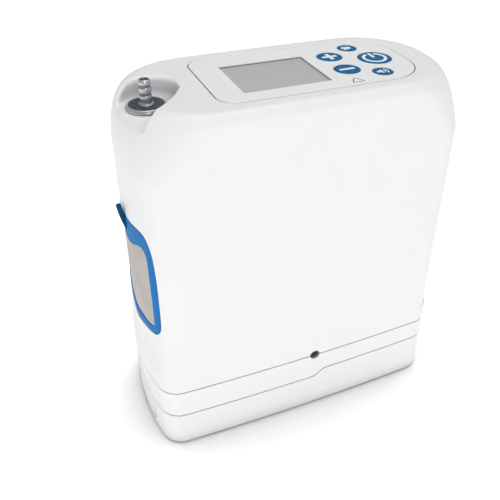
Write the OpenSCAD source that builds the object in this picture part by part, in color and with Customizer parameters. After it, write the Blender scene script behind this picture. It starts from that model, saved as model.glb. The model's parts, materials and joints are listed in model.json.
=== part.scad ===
// Portable oxygen concentrator: carried case, slide-off battery, keypad, hose nozzle, intake filter
// and the compressor, valves and sieve columns inside. Millimetres, +Z up, front face towards -Y,
// filter and nozzle at the -X end, origin on the ground under the middle of the case.

/* [Case] */
// Length of the case along X
body_l = 182.6; // [182.6:0.1:183.4]
// Depth of the case along Y
body_w = 82.8; // [82.8:0.1:83.6]
// Height of the flat top above the ground
top_z = 206; // [206:0.1:206.8]
// Vertical corner radius in plan
corner_r = 13; // [12:0.5:14]
// Radius of the crowned front and back faces
crown_r = 1830; // [1500:10:2200]
// Radius of the bowed narrow sides
side_r = 130; // [115:5:150]
// How far the housing steps in at each end above the base
end_step = 1.8; // [1.4:0.1:2]
// Wall thickness of the mouldings
wall = 2.4; // [2.2:0.1:2.6]

/* [Base and battery] */
// Height of the joint line between housing and base
upper_seam_z = 43; // [42.8:0.1:43.2]
// Height of the battery's top edge at the latch end
seam_low_z = 24.4; // [24.2:0.1:24.6]
// Height of the battery's top edge at the far end
seam_high_z = 29; // [28.8:0.1:29.1]
// Joint gap between mouldings
seam_gap = 0.35; // [0.3:0.05:0.4]
// Ground clearance under the battery case
foot_h = 0.5; // [0.4:0.1:0.6]

/* [Keypad] */
// Length of the display window
screen_l = 46; // [44:0.5:46.5]
// Depth of the display window
screen_w = 36.4; // [35:0.2:37]
// Diameter of the power key
power_d = 18; // [17:0.5:18]
// Diameter of the setting keys
setting_d = 13.5; // [13:0.5:13.5]
// Diameter of the alert and sound keys
small_d = 10.5; // [10:0.5:10.5]
// Travel of each key
key_travel = 0.5; // [0.4:0.1:0.5]

/* [Nozzle] */
// Bore of the hose nozzle
nozzle_bore_d = 3.4; // [3:0.1:3.6]
// Largest diameter of the barbs
barb_d = 6.3; // [6:0.1:6.6]
// Height of the nozzle tip above the ground
nozzle_tip_z = 211.4; // [211:0.1:212]

/* [Hidden] */
$fn = 48;
half_l = body_l / 2;
half_w = body_w / 2;
upper_l = half_l - end_step;
step_z = 53.5;
shoulder_z = top_z - 36;
base_top_z = upper_seam_z - seam_gap / 2;
housing_z = upper_seam_z + seam_gap / 2;
far = 400;

// top shoulder: end inset, end height, edge radius, corner and side radius at the rim
rim_in = 10.5;
rim_h = 30;
edge_r = 5.5;
rim_corner_r = 35;
rim_side_r = 61;

// nozzle pocket
plug_x = -78;
plug_r = 29.5;
wall_x = -69.3;
wall_y = 3;
wall_r = 12.8;
pocket_z = 196;
nozzle_x = -72.7;
collar_top_z = 197.1;
lip_x = -108.7;
lip_y = 21.8;
lip_r = 57.1;
flange_top_z = 199.1;

// keypad layout
overlay_t = 0.6;
overlay_x0 = -45.2;
overlay_x1 = 67.5;
overlay_hw = 30;
screen_x = -8.2;
screen_y = -2.2;
lens_lip = 1;
key_gap = 0.3;
plus_pos = [28.8, 9.7];
minus_pos = [28.8, -9.7];
alert_pos = [44.3, 18.8];
sound_pos = [44.3, -18.8];
power_pos = [50.7, 0];
key_top_z = top_z + 0.1;
mark_t = 0.15;

// battery joint line along X
jog_x0 = 4.2;
jog_x1 = 12.6;
jog_in = 1.4;

// filter outline in the end view
filter_top_z = 144.4;
filter_hw = 34.7;
filter_t = 2.6;
fit_gap = 0.35;

// latch scoop in the end view
scoop_r = 19.4;
scoop_z = 12.2;
latch_travel = 1.8;

// battery rails
rail_y = 26;

// sieve columns
column_x = 65;
column_y = 18;
column_r = 16;

// compressor
crank_x = 7;
crank_z = 82;
crank_throw = 3;
piston_gap = 0.3;
cyl_r = 10;

// fan
fan_x = -70.5;
fan_z = 108;

port_x = 4.5;
port_r = 2.9;
port_bore_r = 2.5;

function arc_pts(cx, cy, r, a0, a1, n) =
    [for (i = [0:n]) [cx + r * cos(a0 + (a1 - a0) * i / n), cy + r * sin(a0 + (a1 - a0) * i / n)]];

function tail(v) = [for (i = [1:len(v) - 1]) v[i]];

function backwards(v) = [for (i = [len(v) - 1:-1:0]) v[i]];

// Centre of the corner circle that touches both the crowned face and the bowed side.
function corner_centre(f, s, d1, d2) =
    let (
        d = norm(s - f),
        a = (d1 * d1 - d2 * d2 + d * d) / (2 * d),
        h = sqrt(max(d1 * d1 - a * a, 0)),
        m = f + (s - f) * a / d
    )
    [m[0] + h * (s[1] - f[1]) / d, m[1] - h * (s[0] - f[0]) / d];

// Quarter of the plan outline, from the middle of the front face to the -X end.
function quarter(a, b, rc, rf, rs, n) =
    let (
        f = [0, rf - b],
        s = [rs - a, 0],
        c = corner_centre(f, s, rf - rc, rs - rc),
        a1 = atan2(c[1] - f[1], c[0] - f[0]),
        a2 = atan2(c[1], c[0] - s[0])
    )
    concat(
        arc_pts(0, rf - b, rf, -90, a1, n),
        tail(arc_pts(c[0], c[1], rc, a1, a2, 2 * n)),
        tail(arc_pts(rs - a, 0, rs, a2, -180, n))
    );

function plan_pts(a, b, rc, rf, rs, n) =
    let (q = quarter(a, b, rc, rf, rs, n))
    concat(
        q,
        tail([for (p = backwards(q)) [p[0], -p[1]]]),
        tail([for (p = q) [-p[0], -p[1]]]),
        [for (i = [len(q) - 2:-1:1]) [-q[i][0], q[i][1]]]
    );

// Straight-sided block with the case's plan outline, drawn in by inset.
module plan_block(a, z0, z1, inset = 0, n = 6) {
    translate([0, 0, z0])
        linear_extrude(z1 - z0)
            polygon(plan_pts(a - inset, half_w - inset, corner_r - inset, crown_r, side_r, n));
}

// One thin slab of the rounded top at the angle t round the shoulder, 90 being the flat.
module rim_slab(drop) {
    k = drop / rim_h;
    end_in = rim_in * (1 - sqrt(max(1 - (1 - k) * (1 - k), 0)));
    left = max(edge_r - drop, 0);
    edge_in = edge_r - sqrt(max(edge_r * edge_r - left * left, 0));
    rc = corner_r + (rim_corner_r - corner_r) * (1 - k);
    rs = side_r + (rim_side_r - side_r) * (1 - k);
    translate([0, 0, top_z - drop - 0.02])
        linear_extrude(0.02)
            polygon(plan_pts(upper_l - end_in, half_w - edge_in, rc, crown_r, rs, 4));
}

module rounded_rect(x0, x1, y0, y1, r) {
    translate([x0 + r, y0])
        square([x1 - x0 - 2 * r, y1 - y0]);
    translate([x0, y0 + r])
        square([x1 - x0, y1 - y0 - 2 * r]);
    for (x = [x0 + r, x1 - r], y = [y0 + r, y1 - r])
        translate([x, y])
            circle(r);
}

// Extrudes an end-view outline, drawn as (y, z), along X from x0 to x1.
module end_extrude(x0, x1) {
    translate([x0, 0, 0])
        rotate([90, 0, 90])
            linear_extrude(x1 - x0)
                children();
}

// Extrudes a front-view outline, drawn as (x, z), through the whole depth.
module front_extrude(hw = far) {
    translate([0, hw, 0])
        rotate([90, 0, 0])
            linear_extrude(2 * hw)
                children();
}

module stadium(r, hw) {
    for (s = [-1, 1])
        translate([0, s * hw])
            circle(r);
    translate([-r, -hw])
        square([2 * r, 2 * hw]);
}

module tube(r_out, r_in, h) {
    difference() {
        cylinder(r = r_out, h = h);
        translate([0, 0, -1])
            cylinder(r = r_in, h = h + 2);
    }
}

// Battery top edge in the front view, raised by lift: low at the latch end, high at the far end.
function jog_pts(lift) = [
    [-far, seam_low_z + lift],
    [jog_x0, seam_low_z + lift],
    [jog_x0 + jog_in, seam_low_z + 0.4 + lift],
    [jog_x0 + 2.6, seam_low_z + 1.1 + lift],
    [jog_x1 - 2.6, seam_high_z - 1.1 + lift],
    [jog_x1 - jog_in, seam_high_z - 0.4 + lift],
    [jog_x1, seam_high_z + lift],
    [far, seam_high_z + lift]
];

module below_jog(lift) {
    front_extrude()
        polygon(concat(jog_pts(lift), [[far, -10], [-far, -10]]));
}

module above_jog(lift) {
    front_extrude()
        polygon(concat(jog_pts(lift), [[far, far], [-far, far]]));
}

module scoop_shape(r) {
    intersection() {
        translate([0, scoop_z])
            circle(r);
        translate([-r, scoop_z - 7 + (scoop_r - r)])
            square([2 * r, far]);
    }
}

// Shield outline of the filter, drawn in by inset.
module filter_shape(inset) {
    hw = filter_hw - inset;
    zt = filter_top_z - inset;
    polygon(concat(
        arc_pts(hw - 8, zt - 8, 8, 0, 90, 6),
        arc_pts(-hw + 8, zt - 8, 8, 90, 180, 6),
        arc_pts(-hw + 5 + 1, 89.5 + inset, 5, 184, 245, 5),
        [[-15, 77.4 + inset * 1.06], [-6, 72.9 + inset], [0, 71.8 + inset], [6, 72.9 + inset]],
        [[15, 77.4 + inset * 1.06]],
        arc_pts(hw - 5 - 1, 89.5 + inset, 5, -65, -4, 5)
    ));
}

// Window in the filter frame, with a dip in the middle of its top edge.
module filter_window(inset) {
    hw = 29 - inset;
    zt = 134.6 - inset;
    dip = 126.4 - inset;
    polygon(concat(
        arc_pts(hw - 4.5, zt - 4.5, 4.5, 0, 90, 5),
        [[18, zt - 0.2], [13, zt - 2.4], [9, dip + 1], [4, dip], [-4, dip], [-9, dip + 1]],
        [[-13, zt - 2.4], [-18, zt - 0.2]],
        arc_pts(-hw + 4.5, zt - 4.5, 4.5, 90, 180, 5),
        arc_pts(-hw + 3, 94 + inset, 3, 180, 240, 4),
        [[-14, 84.3 + inset], [-5, 80 + inset], [0, 79.2 + inset], [5, 80 + inset], [14, 84.3 + inset]],
        arc_pts(hw - 3, 94 + inset, 3, -60, 0, 4)
    ));
}

// Curved skin of the upper case between two depths under its surface, at the -X end.
module end_skin(d0, d1, z0, z1) {
    intersection() {
        difference() {
            plan_block(upper_l, z0, z1, d0, 10);
            plan_block(upper_l, z0 - 1, z1 + 1, d1, 10);
        }
        translate([-far, -far, z0 - 2])
            cube([far - 60, 2 * far, z1 - z0 + 4]);
    }
}

boss_spots = [[-56, 35.2], [-56, -35.2], [41, 35.2], [41, -35.2]];
post_spots = [[-57, 24], [-57, -24], [44, 24], [44, -24]];
key_list = [
    [plus_pos, setting_d],
    [minus_pos, setting_d],
    [alert_pos, small_d],
    [sound_pos, small_d],
    [power_pos, power_d]
];

module housing_outer() {
    plan_block(half_l, housing_z, step_z);
    plan_block(upper_l, step_z - 0.01, shoulder_z);
    hull() {
        translate([0, 0, shoulder_z - 0.5])
            linear_extrude(0.5)
                polygon(plan_pts(upper_l, half_w, corner_r, crown_r, side_r, 4));
        for (drop = [30, 24, 18, 13, 9, 5.5, 3.6, 2, 0.9, 0.3, 0])
            rim_slab(drop);
    }
}

module housing_cavity() {
    plan_block(upper_l, housing_z - 1, shoulder_z - 5, wall);
    translate([0, 0, shoulder_z - 5.01])
        linear_extrude(20.02)
            polygon(plan_pts(upper_l - 3, half_w - wall, 17.5, crown_r, 112, 6));
    translate([0, 0, shoulder_z + 15])
        linear_extrude(12.01)
            polygon(plan_pts(upper_l - 6, half_w - wall - 0.2, 26.5, crown_r, 78, 6));
    translate([0, 0, shoulder_z + 27])
        linear_extrude(6)
            polygon(plan_pts(upper_l - 9.5, half_w - wall - 1.5, 30, crown_r, 64, 6));
}

// Plan of the nozzle pocket: a round back wall that runs straight out past the nozzle.
module pocket_plan() {
    lean = 125.8;
    translate([wall_x, wall_y])
        circle(wall_r);
    polygon([
        [wall_x, wall_y],
        [wall_x + wall_r, wall_y],
        [wall_x + wall_r, -26.5],
        [-120, -26.5],
        [-120, -17.8],
        [wall_x + wall_r * cos(lean), wall_y + wall_r * sin(lean)]
    ]);
}

// Open space over the pocket floor and round the nozzle's collar, behind the front wall.
module pocket_space() {
    translate([0, 0, pocket_z])
        difference() {
            intersection() {
                linear_extrude(40)
                    pocket_plan();
                translate([lip_x, lip_y, -1])
                    cylinder(r = lip_r, h = 50);
            }
            translate([nozzle_x, 0, -0.01])
                cylinder(r1 = 13.4, r2 = 11.6, h = collar_top_z - pocket_z);
        }
}

module main_housing() {
    color("white")
        difference() {
            union() {
                difference() {
                    housing_outer();
                    housing_cavity();
                }
                intersection() {
                    housing_outer();
                    translate([plug_x, 0, pocket_z - 4])
                        cylinder(r = plug_r, h = 30);
                }
                for (p = boss_spots)
                    translate([p[0], p[1], 46])
                        cylinder(r = 3.6, h = 30);
                // seat ring that carries the intake filter
                intersection() {
                    end_skin(1, 6.5, 66, 148);
                    end_extrude(-far, -60)
                        filter_shape(-2.2);
                }
            }
            // nozzle pocket and the hole for the nozzle's spigot
            pocket_space();
            translate([nozzle_x, 0, pocket_z - 10])
                cylinder(r = 6.2, h = 30);
            translate([nozzle_x, 0, collar_top_z - 0.9])
                tube(8.7, 6.9, 2);
            // filter seat
            intersection() {
                end_skin(-5, 3.9, 60, 150);
                end_extrude(-far, -60)
                    filter_shape(-fit_gap);
            }
            end_extrude(-far, -60)
                filter_window(-1.5);
            // room for the filter's pull tab
            translate([-upper_l - 3, -3, filter_top_z - 4])
                cube([4.2, 6, 7]);
            // keypad recess, display window and key holes
            translate([0, 0, top_z - overlay_t])
                linear_extrude(5)
                    overlay_shape(-0.3);
            translate([screen_x, screen_y, 208])
                cube([screen_l + 2 * lens_lip + 0.4, screen_w + 2 * lens_lip + 0.4, 20], center = true);
            for (k = key_list)
                translate([k[0][0], k[0][1], 198])
                    cylinder(d = k[1], h = 20);
            // far end: exhaust opening and inlet socket
            end_extrude(80, far)
                rounded_rect(-22, 22, 92, 148, 5);
            translate([70, -7.2, 65])
                cube([40, 14.4, 10.4]);
            port_cut();
            for (p = boss_spots)
                translate([p[0], p[1], 40])
                    cylinder(r = 1.55, h = 26);
        }
}

// Keypad outline: square with rounded corners at the -X end, wide round corners at the +X end.
module overlay_shape(inset) {
    hw = overlay_hw - inset;
    translate([overlay_x0 + 20, -hw])
        square([overlay_x1 - overlay_x0 - 42, 2 * hw]);
    translate([overlay_x1 - 23, -8])
        square([23 - inset, 16]);
    for (s = [-1, 1])
        translate([overlay_x1 - 22, s * 8])
            circle(22 - inset);
    rounded_rect(overlay_x0 + inset, overlay_x0 + 40, -hw, hw, 10 - inset);
}

module display_overlay() {
    color("gainsboro")
        difference() {
            translate([0, 0, top_z - overlay_t + 0.02])
                linear_extrude(overlay_t - 0.02)
                    overlay_shape(0);
            translate([screen_x - screen_l / 2, screen_y - screen_w / 2, 200])
                cube([screen_l, screen_w, 20]);
            for (k = key_list)
                translate([k[0][0], k[0][1], 200])
                    cylinder(d = k[1], h = 20);
        }
}

module screen_window() {
    lens_z = top_z - overlay_t - 1.9;
    color("silver")
        translate([screen_x - screen_l / 2 - lens_lip, screen_y - screen_w / 2 - lens_lip, lens_z])
            cube([screen_l + 2 * lens_lip, screen_w + 2 * lens_lip, 1.5]);
}

module lcd_module() {
    color("darkseagreen") {
        translate([screen_x - 26, screen_y - 21, 199])
            cube([52, 42, 3.4]);
        translate([screen_x - 23.4, screen_y - 18.6, 202.39])
            cube([46.8, 37.2, 0.9]);
    }
}

module ui_board() {
    color("darkgreen")
        difference() {
            translate([0, 0, 197])
                linear_extrude(1.6)
                    rounded_rect(-40, 62, -26, 26, 4);
            for (x = [-35, 57], y = [-21, 21])
                translate([x, y, 190])
                    cylinder(r = 1.6, h = 20);
        }
}

module key_switches() {
    color("dimgray")
        for (k = key_list)
            translate([k[0][0], k[0][1], 198.62]) {
                translate([-3, -3, 0])
                    cube([6, 6, 1.8]);
                cylinder(r = 1.7, h = 2.3);
            }
}

// Key cap with a stem that ends one travel above its switch.
module key_cap(d) {
    stem_z = 198.62 + 2.3 + key_travel + 0.12;
    translate([0, 0, 203.6])
        cylinder(d = d - 2 * key_gap, h = key_top_z - 203.6);
    translate([0, 0, stem_z])
        cylinder(r = 2.2, h = 203.7 - stem_z);
}

module button_plus() {
    color("steelblue")
        translate([plus_pos[0], plus_pos[1], 0])
            difference() {
                key_cap(setting_d);
                for (a = [0, 90])
                    rotate([0, 0, a])
                        translate([-3.6, -0.8, key_top_z - mark_t])
                            cube([7.2, 1.6, 1]);
            }
}

module button_minus() {
    color("steelblue")
        translate([minus_pos[0], minus_pos[1], 0])
            difference() {
                key_cap(setting_d);
                translate([-3.6, -0.8, key_top_z - mark_t])
                    cube([7.2, 1.6, 1]);
            }
}

module button_power() {
    color("steelblue")
        translate([power_pos[0], power_pos[1], 0])
            difference() {
                key_cap(power_d);
                difference() {
                    translate([0, 0, key_top_z - mark_t])
                        tube(6.2, 4.9, 1);
                    translate([-2, 2, key_top_z - 1])
                        cube([4, 8, 3]);
                }
                translate([-0.65, 0.6, key_top_z - mark_t])
                    cube([1.3, 6.4, 1]);
            }
}

module button_alert() {
    color("steelblue")
        translate([alert_pos[0], alert_pos[1], 0])
            difference() {
                key_cap(small_d);
                translate([-2.4, -1, key_top_z - mark_t])
                    cube([4.8, 2.8, 1]);
            }
}

module button_sound() {
    color("steelblue")
        translate([sound_pos[0], sound_pos[1], 0])
            difference() {
                key_cap(small_d);
                translate([-2.8, -0.8, key_top_z - mark_t])
                    cube([1.6, 1.6, 1]);
                translate([-1.2, 0, key_top_z - mark_t])
                    linear_extrude(1)
                        polygon([[0, -0.8], [2, -2.2], [2, 2.2], [0, 0.8]]);
            }
}

module nozzle_fitting() {
    neck = 2.6;
    barb = barb_d / 2;
    tip = nozzle_tip_z;
    color("lightsteelblue")
        translate([nozzle_x, 0, 0])
            difference() {
                rotate_extrude()
                    polygon([
                        [0, 187], [6, 187], [6, collar_top_z + 0.1], [9.9, collar_top_z + 0.1],
                        [9.9, flange_top_z - 0.3], [9.6, flange_top_z], [8.8, flange_top_z],
                        [8.8, flange_top_z - 0.9], [4.4, flange_top_z - 0.9], [4.4, flange_top_z - 0.2],
                        [3.9, flange_top_z + 0.3], [3.4, flange_top_z + 1.6], [3.4, tip - 9.1],
                        [3.2, tip - 8.3], [neck, tip - 7.1], [barb - 0.1, tip - 5.9], [barb, tip - 5.1],
                        [barb - 0.2, tip - 4.4], [neck, tip - 3.6], [barb - 0.2, tip - 2.6],
                        [barb, tip - 1.9], [barb - 0.3, tip - 0.8], [neck - 0.1, tip], [0, tip]
                    ]);
                translate([0, 0, 180])
                    cylinder(d = nozzle_bore_d, h = 50);
                translate([0, 0, 180])
                    cylinder(r = 4.8, h = 12);
            }
}

module nozzle_ring() {
    color("dimgray")
        translate([nozzle_x, 0, flange_top_z - 0.88])
            difference() {
                tube(8.7, 4.5, 0.7);
                for (a = [20:45:335])
                    rotate([0, 0, a])
                        translate([6.6, 0, 0.4])
                            cylinder(r = 0.75, h = 1);
            }
}

module nozzle_seal() {
    color("black")
        translate([nozzle_x, 0, collar_top_z - 0.88])
            tube(8.55, 7.05, 0.94);
}

module output_filter() {
    color("white")
        translate([nozzle_x, 0, 187.5])
            tube(4.7, 1.2, 4.3);
}

module filter_frame() {
    tab_hw = 2;
    color("steelblue")
        union() {
            difference() {
                intersection() {
                    end_skin(-0.25, filter_t, 60, 150);
                    end_extrude(-far, -60)
                        filter_shape(0);
                }
                end_extrude(-far, -60)
                    filter_window(0);
            }
            translate([0, tab_hw, 0])
                rotate([90, 0, 0])
                    linear_extrude(2 * tab_hw)
                        polygon([
                            [-upper_l - 0.1, 134], [-upper_l - 0.25, 138], [-upper_l - 1.1, 141.6],
                            [-upper_l - 2.2, 144.6], [-upper_l - 3.5, 147.2], [-upper_l - 2, 148],
                            [-upper_l - 0.8, 145.2], [-upper_l + 0.2, 142.2], [-upper_l + 0.9, 138.6],
                            [-upper_l + 1.2, 134]
                        ]);
        }
}

module filter_mesh() {
    color("tan")
        intersection() {
            end_skin(filter_t + 0.05, filter_t + 1.05, 60, 150);
            end_extrude(-far, -60)
                filter_shape(2.6);
        }
}

module filter_seat() {
    color("gray")
        difference() {
            intersection() {
                end_skin(6.6, 8.4, 60, 150);
                end_extrude(-far, -60)
                    filter_shape(1.5);
            }
            for (y = [-24:8:24])
                translate([-far, y - 2.5, 92])
                    cube([far, 5, 38]);
        }
}

module exhaust_grille() {
    color("lightgray")
        difference() {
            intersection() {
                difference() {
                    plan_block(upper_l, 80, 160, 0.3, 10);
                    plan_block(upper_l, 79, 161, 2.2, 10);
                }
                end_extrude(60, far)
                    rounded_rect(-21.7, 21.7, 92.3, 147.7, 4.7);
            }
            for (z = [97:6:143])
                translate([60, -18, z - 1.5])
                    cube([60, 36, 3]);
        }
}

module dc_inlet() {
    color("black") {
        difference() {
            translate([78.5, -7, 65.2])
                cube([10.5, 14, 10]);
            translate([80.5, -5, 67.4])
                cube([20, 10, 5.6]);
        }
        for (y = [-2.4, 2.4])
            translate([79.5, y, 70.2])
                rotate([0, 90, 0])
                    cylinder(r = 0.6, h = 4.4);
    }
}

// Room for the front port, half in the housing and half in the base.
module port_cut() {
    translate([port_x, -half_w - 2, upper_seam_z])
        rotate([-90, 0, 0]) {
            cylinder(r = port_r + 0.15, h = 12);
            translate([0, 0, 3.4])
                cylinder(r = port_r + 1.2, h = 12);
        }
}

module port_sleeve() {
    color("gray")
        translate([port_x, -half_w + 1.5, upper_seam_z])
            rotate([-90, 0, 0])
                difference() {
                    cylinder(r = port_r + 1, h = 9);
                    translate([0, 0, -1])
                        cylinder(r = port_bore_r, h = 9);
                }
}

module base_cover() {
    color("white")
        difference() {
            union() {
                intersection() {
                    plan_block(half_l, 20, base_top_z);
                    above_jog(seam_gap);
                }
                difference() {
                    plan_block(upper_l, base_top_z - 2, base_top_z + 3, wall + 0.2);
                    plan_block(upper_l, base_top_z - 4, base_top_z + 4, wall + 1.6);
                }
                for (p = boss_spots)
                    translate([p[0], p[1], 33])
                        cylinder(r = 2.8, h = 12.9);
            }
            difference() {
                plan_block(upper_l, 35, base_top_z + 0.01, wall + 1.6);
                for (p = boss_spots)
                    translate([p[0], p[1], 33])
                        cylinder(r = 2.8, h = 20);
            }
            translate([-78, -30, 30.5])
                cube([78, 60, 10]);
            // undercut grooves that hold the battery's rails
            for (s = [-1, 1]) {
                rail_groove(s, -84, seam_low_z + seam_gap, -1);
                rail_groove(s, -far, seam_high_z + seam_gap, 1);
            }
            // opening the sieve columns are fitted through
            translate([column_x, 0, 20])
                linear_extrude(40)
                    stadium(column_r + 1.7, column_y);
            // finger scoop at the latch end
            end_extrude(-far, -half_l + 3.8)
                scoop_shape(scoop_r);
            port_cut();
            for (p = boss_spots)
                translate([p[0], p[1], 0]) {
                    cylinder(r = 1.7, h = 60);
                    cylinder(r = 3.2, h = 32);
                }
            // seat of the contact block
            translate([-2, -16.2, 25.5])
                cube([30, 32.4, 3.4]);
        }
}

// Undercut groove from x0 to the open end, for the low rails (side -1) or the high rails (side 1).
module rail_groove(s, x0, z, side) {
    x_start = side > 0 ? 13 : x0;
    x_len = side > 0 ? 100 : 110;
    translate([x_start, s * rail_y - 2.1, z - 1])
        cube([x_len, 4.2, 3]);
    translate([x_start, s * rail_y - 3.9, z + 1.4])
        cube([x_len, 7.8, 2.5]);
}

// Tee-shaped rail on the battery's top.
module rail(s, x0, x1, z) {
    translate([x0, s * rail_y - 1.7, z - 0.5])
        cube([x1 - x0, 3.4, 2.8]);
    translate([x0, s * rail_y - 3.5, z + 2.1])
        cube([x1 - x0, 7, 1.5]);
}

module base_contacts() {
    color("gold")
        for (y = [-12:6:12])
            translate([3, y - 1.5, 26.4])
                cube([12.5, 3, 0.9]);
    color("black")
        translate([-1.9, -16, 25.6])
            cube([5, 32, 3.2]);
}

module battery_case() {
    color("white")
        difference() {
            union() {
                intersection() {
                    plan_block(half_l, foot_h + 1.5, 40);
                    below_jog(0);
                }
                hull() {
                    for (d = [[0, 1.5], [0.25, 0.75], [0.75, 0.25], [1.5, 0]])
                        plan_block(half_l, foot_h + d[1], foot_h + d[1] + 0.02, d[0], 4);
                }
            }
            // cell bay
            intersection() {
                plan_block(half_l, foot_h + 2.2, 40, wall + 0.6);
                translate([-79, -far, 0])
                    cube([far, 2 * far, far]);
                below_jog(-2.35);
            }
            // rebate for the lid
            intersection() {
                plan_block(half_l, 10, 40, wall);
                above_jog(-2.4);
                translate([-81, -far, 0])
                    cube([far, 2 * far, far]);
            }
            // latch cavity
            end_extrude(-far, -82.8)
                scoop_shape(scoop_r);
            // foot recesses
            for (x = [-68, 68], y = [-26, 26])
                translate([x, y, -1])
                    cylinder(r = 5.2, h = foot_h + 1.7);
        }
}

module battery_lid() {
    color("whitesmoke")
        difference() {
            union() {
                intersection() {
                    plan_block(half_l, 10, 40, wall + 0.15);
                    above_jog(-2.35);
                    below_jog(0);
                    translate([-80.8, -far, 0])
                        cube([far, 2 * far, far]);
                }
                for (s = [-1, 1]) {
                    rail(s, -78, 0, seam_low_z);
                    rail(s, 18, 84, seam_high_z);
                }
            }
            // slot that the base's contact blades enter
            translate([-10, -15, 25.7])
                cube([28, 30, 2.2]);
        }
}

module battery_cells() {
    cell_r = 9;
    color("royalblue")
        for (row = [-1.5:1:1.5], x = [-77.5, -11.5])
            translate([x, row * 18.3, foot_h + 2.4 + cell_r])
                rotate([0, 90, 0])
                    cylinder(r = cell_r, h = 65);
}

module battery_board() {
    color("darkgreen")
        translate([56, -28, foot_h + 4])
            cube([1.6, 56, 18]);
    color("dimgray")
        for (y = [-20, -6, 8])
            translate([57.6, y, foot_h + 8])
                cube([3, 9, 9]);
}

module battery_contacts() {
    color("gold")
        for (y = [-12:6:12])
            translate([19, y - 1.5, 23.9])
                cube([6, 3, 2.1]);
}

module battery_feet() {
    color("dimgray")
        for (x = [-68, 68], y = [-26, 26])
            translate([x, y, 0])
                cylinder(r = 5, h = foot_h + 0.68);
}

module battery_latch() {
    color("white")
        difference() {
            intersection() {
                plan_block(half_l, 0, 60, 0.4, 10);
                end_extrude(-far, -85.4)
                    scoop_shape(scoop_r - fit_gap);
                below_jog(-0.1);
            }
            // thumb face that leans in towards its top
            translate([-half_l - 1.2, -30, 6])
                rotate([0, 13, 0])
                    translate([-20, 0, -20])
                        cube([20, 60, 60]);
        }
}

module housing_screws() {
    color("silver")
        for (p = boss_spots)
            translate([p[0], p[1], 29.9])
                difference() {
                    union() {
                        cylinder(r = 2.9, h = 2.05);
                        cylinder(r = 1.5, h = 34);
                    }
                    translate([0, 0, -1])
                        cylinder(r = 1.3, h = 2.2, $fn = 6);
                }
}

module chassis() {
    color("gray")
        difference() {
            union() {
                plan_block(upper_l, 45.9, 48.4, wall + 0.6);
                for (p = post_spots)
                    translate([p[0], p[1], 48])
                        cylinder(r = 2, h = 128);
            }
            for (p = boss_spots)
                translate([p[0], p[1], 40])
                    cylinder(r = 4.4, h = 20);
            translate([column_x, 0, 40])
                linear_extrude(20)
                    stadium(column_r + 1.5, column_y);
            translate([port_x - 6, -half_w, 40])
                cube([12, 14, 20]);
        }
}

module main_board() {
    color("darkgreen")
        difference() {
            translate([0, 0, 176.02])
                linear_extrude(1.6)
                    rounded_rect(-62, 74, -30, 30, 3);
            for (x = [-58, 70], y = [-10, 10])
                translate([x, y, 170])
                    cylinder(r = 1.6, h = 20);
        }
}

module board_parts() {
    color("dimgray") {
        for (x = [-48, -34, -20])
            translate([x, 16, 177.64])
                cylinder(r = 5, h = 13);
        translate([-6, 4, 177.64])
            cube([16, 16, 2]);
        translate([22, -22, 177.64])
            cube([24, 14, 9]);
        translate([-50, -24, 177.64])
            cube([30, 10, 7]);
        translate([52, 4, 177.64])
            cube([14, 18, 6]);
    }
}

module buzzer() {
    color("black")
        translate([-8, -22, 177.64])
            tube(6, 1, 8);
}

module compressor_body() {
    color("silver")
        difference() {
            union() {
                translate([-52, 0, crank_z])
                    rotate([0, 90, 0])
                        cylinder(r = 23, h = 46);
                translate([-8, -16, crank_z - 18])
                    cube([30, 32, 36]);
                translate([-50, -24, 58.4])
                    cube([72, 48, 3.4]);
                for (x = [-40, -16])
                    translate([x, -14, 60])
                        cube([5, 28, 10]);
                translate([-6, -12, 60])
                    cube([26, 24, 6]);
            }
            // motor chamber, shaft passage and crank chamber
            translate([-50, 0, crank_z])
                rotate([0, 90, 0])
                    cylinder(r = 20.4, h = 40);
            translate([-53, 0, crank_z])
                rotate([0, 90, 0])
                    cylinder(r = 3.06, h = 80);
            translate([-6, 0, crank_z])
                rotate([0, 90, 0])
                    cylinder(r = 14.5, h = 26);
            translate([crank_x, -20, crank_z])
                rotate([-90, 0, 0])
                    cylinder(r = cyl_r + 0.4, h = 40);
        }
}

module motor_stator() {
    color("chocolate")
        difference() {
            translate([-45, 0, crank_z])
                rotate([0, 90, 0])
                    tube(20.3, 13.4, 30);
            for (a = [0:40:320])
                translate([-46, 0, crank_z])
                    rotate([a, 0, 0])
                        translate([0, 12, -1.4])
                            cube([32, 5, 2.8]);
        }
}

module crank_rotor() {
    color("dimgray") {
        translate([-44, 0, crank_z])
            rotate([0, 90, 0])
                cylinder(r = 12.8, h = 28);
        translate([-52, 0, crank_z])
            rotate([0, 90, 0])
                cylinder(r = 3, h = 53);
        translate([0.6, 0, crank_z])
            rotate([0, 90, 0])
                cylinder(r = 7.5, h = 2.4);
        translate([2.9, 0, crank_z + crank_throw])
            rotate([0, 90, 0])
                cylinder(r = 3.2, h = 9);
    }
}

module cylinders() {
    color("silver")
        for (s = [0, 180])
            translate([crank_x, 0, crank_z])
                rotate([0, 0, s])
                    translate([0, 16.02, 0])
                        rotate([-90, 0, 0])
                            tube(cyl_r + 3, cyl_r, 12);
}

module cylinder_heads() {
    color("darkgray")
        for (s = [0, 180])
            translate([crank_x, 0, crank_z])
                rotate([0, 0, s]) {
                    translate([-14, 28.04, -14])
                        cube([28, 5.2, 28]);
                    for (z = [-8, -4, 0, 4, 8])
                        translate([-12, 33, z - 0.6])
                            cube([24, 2, 1.2]);
                    translate([-8, 30.5, 13])
                        tube(2.2, 1.2, 8);
                }
}

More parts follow.
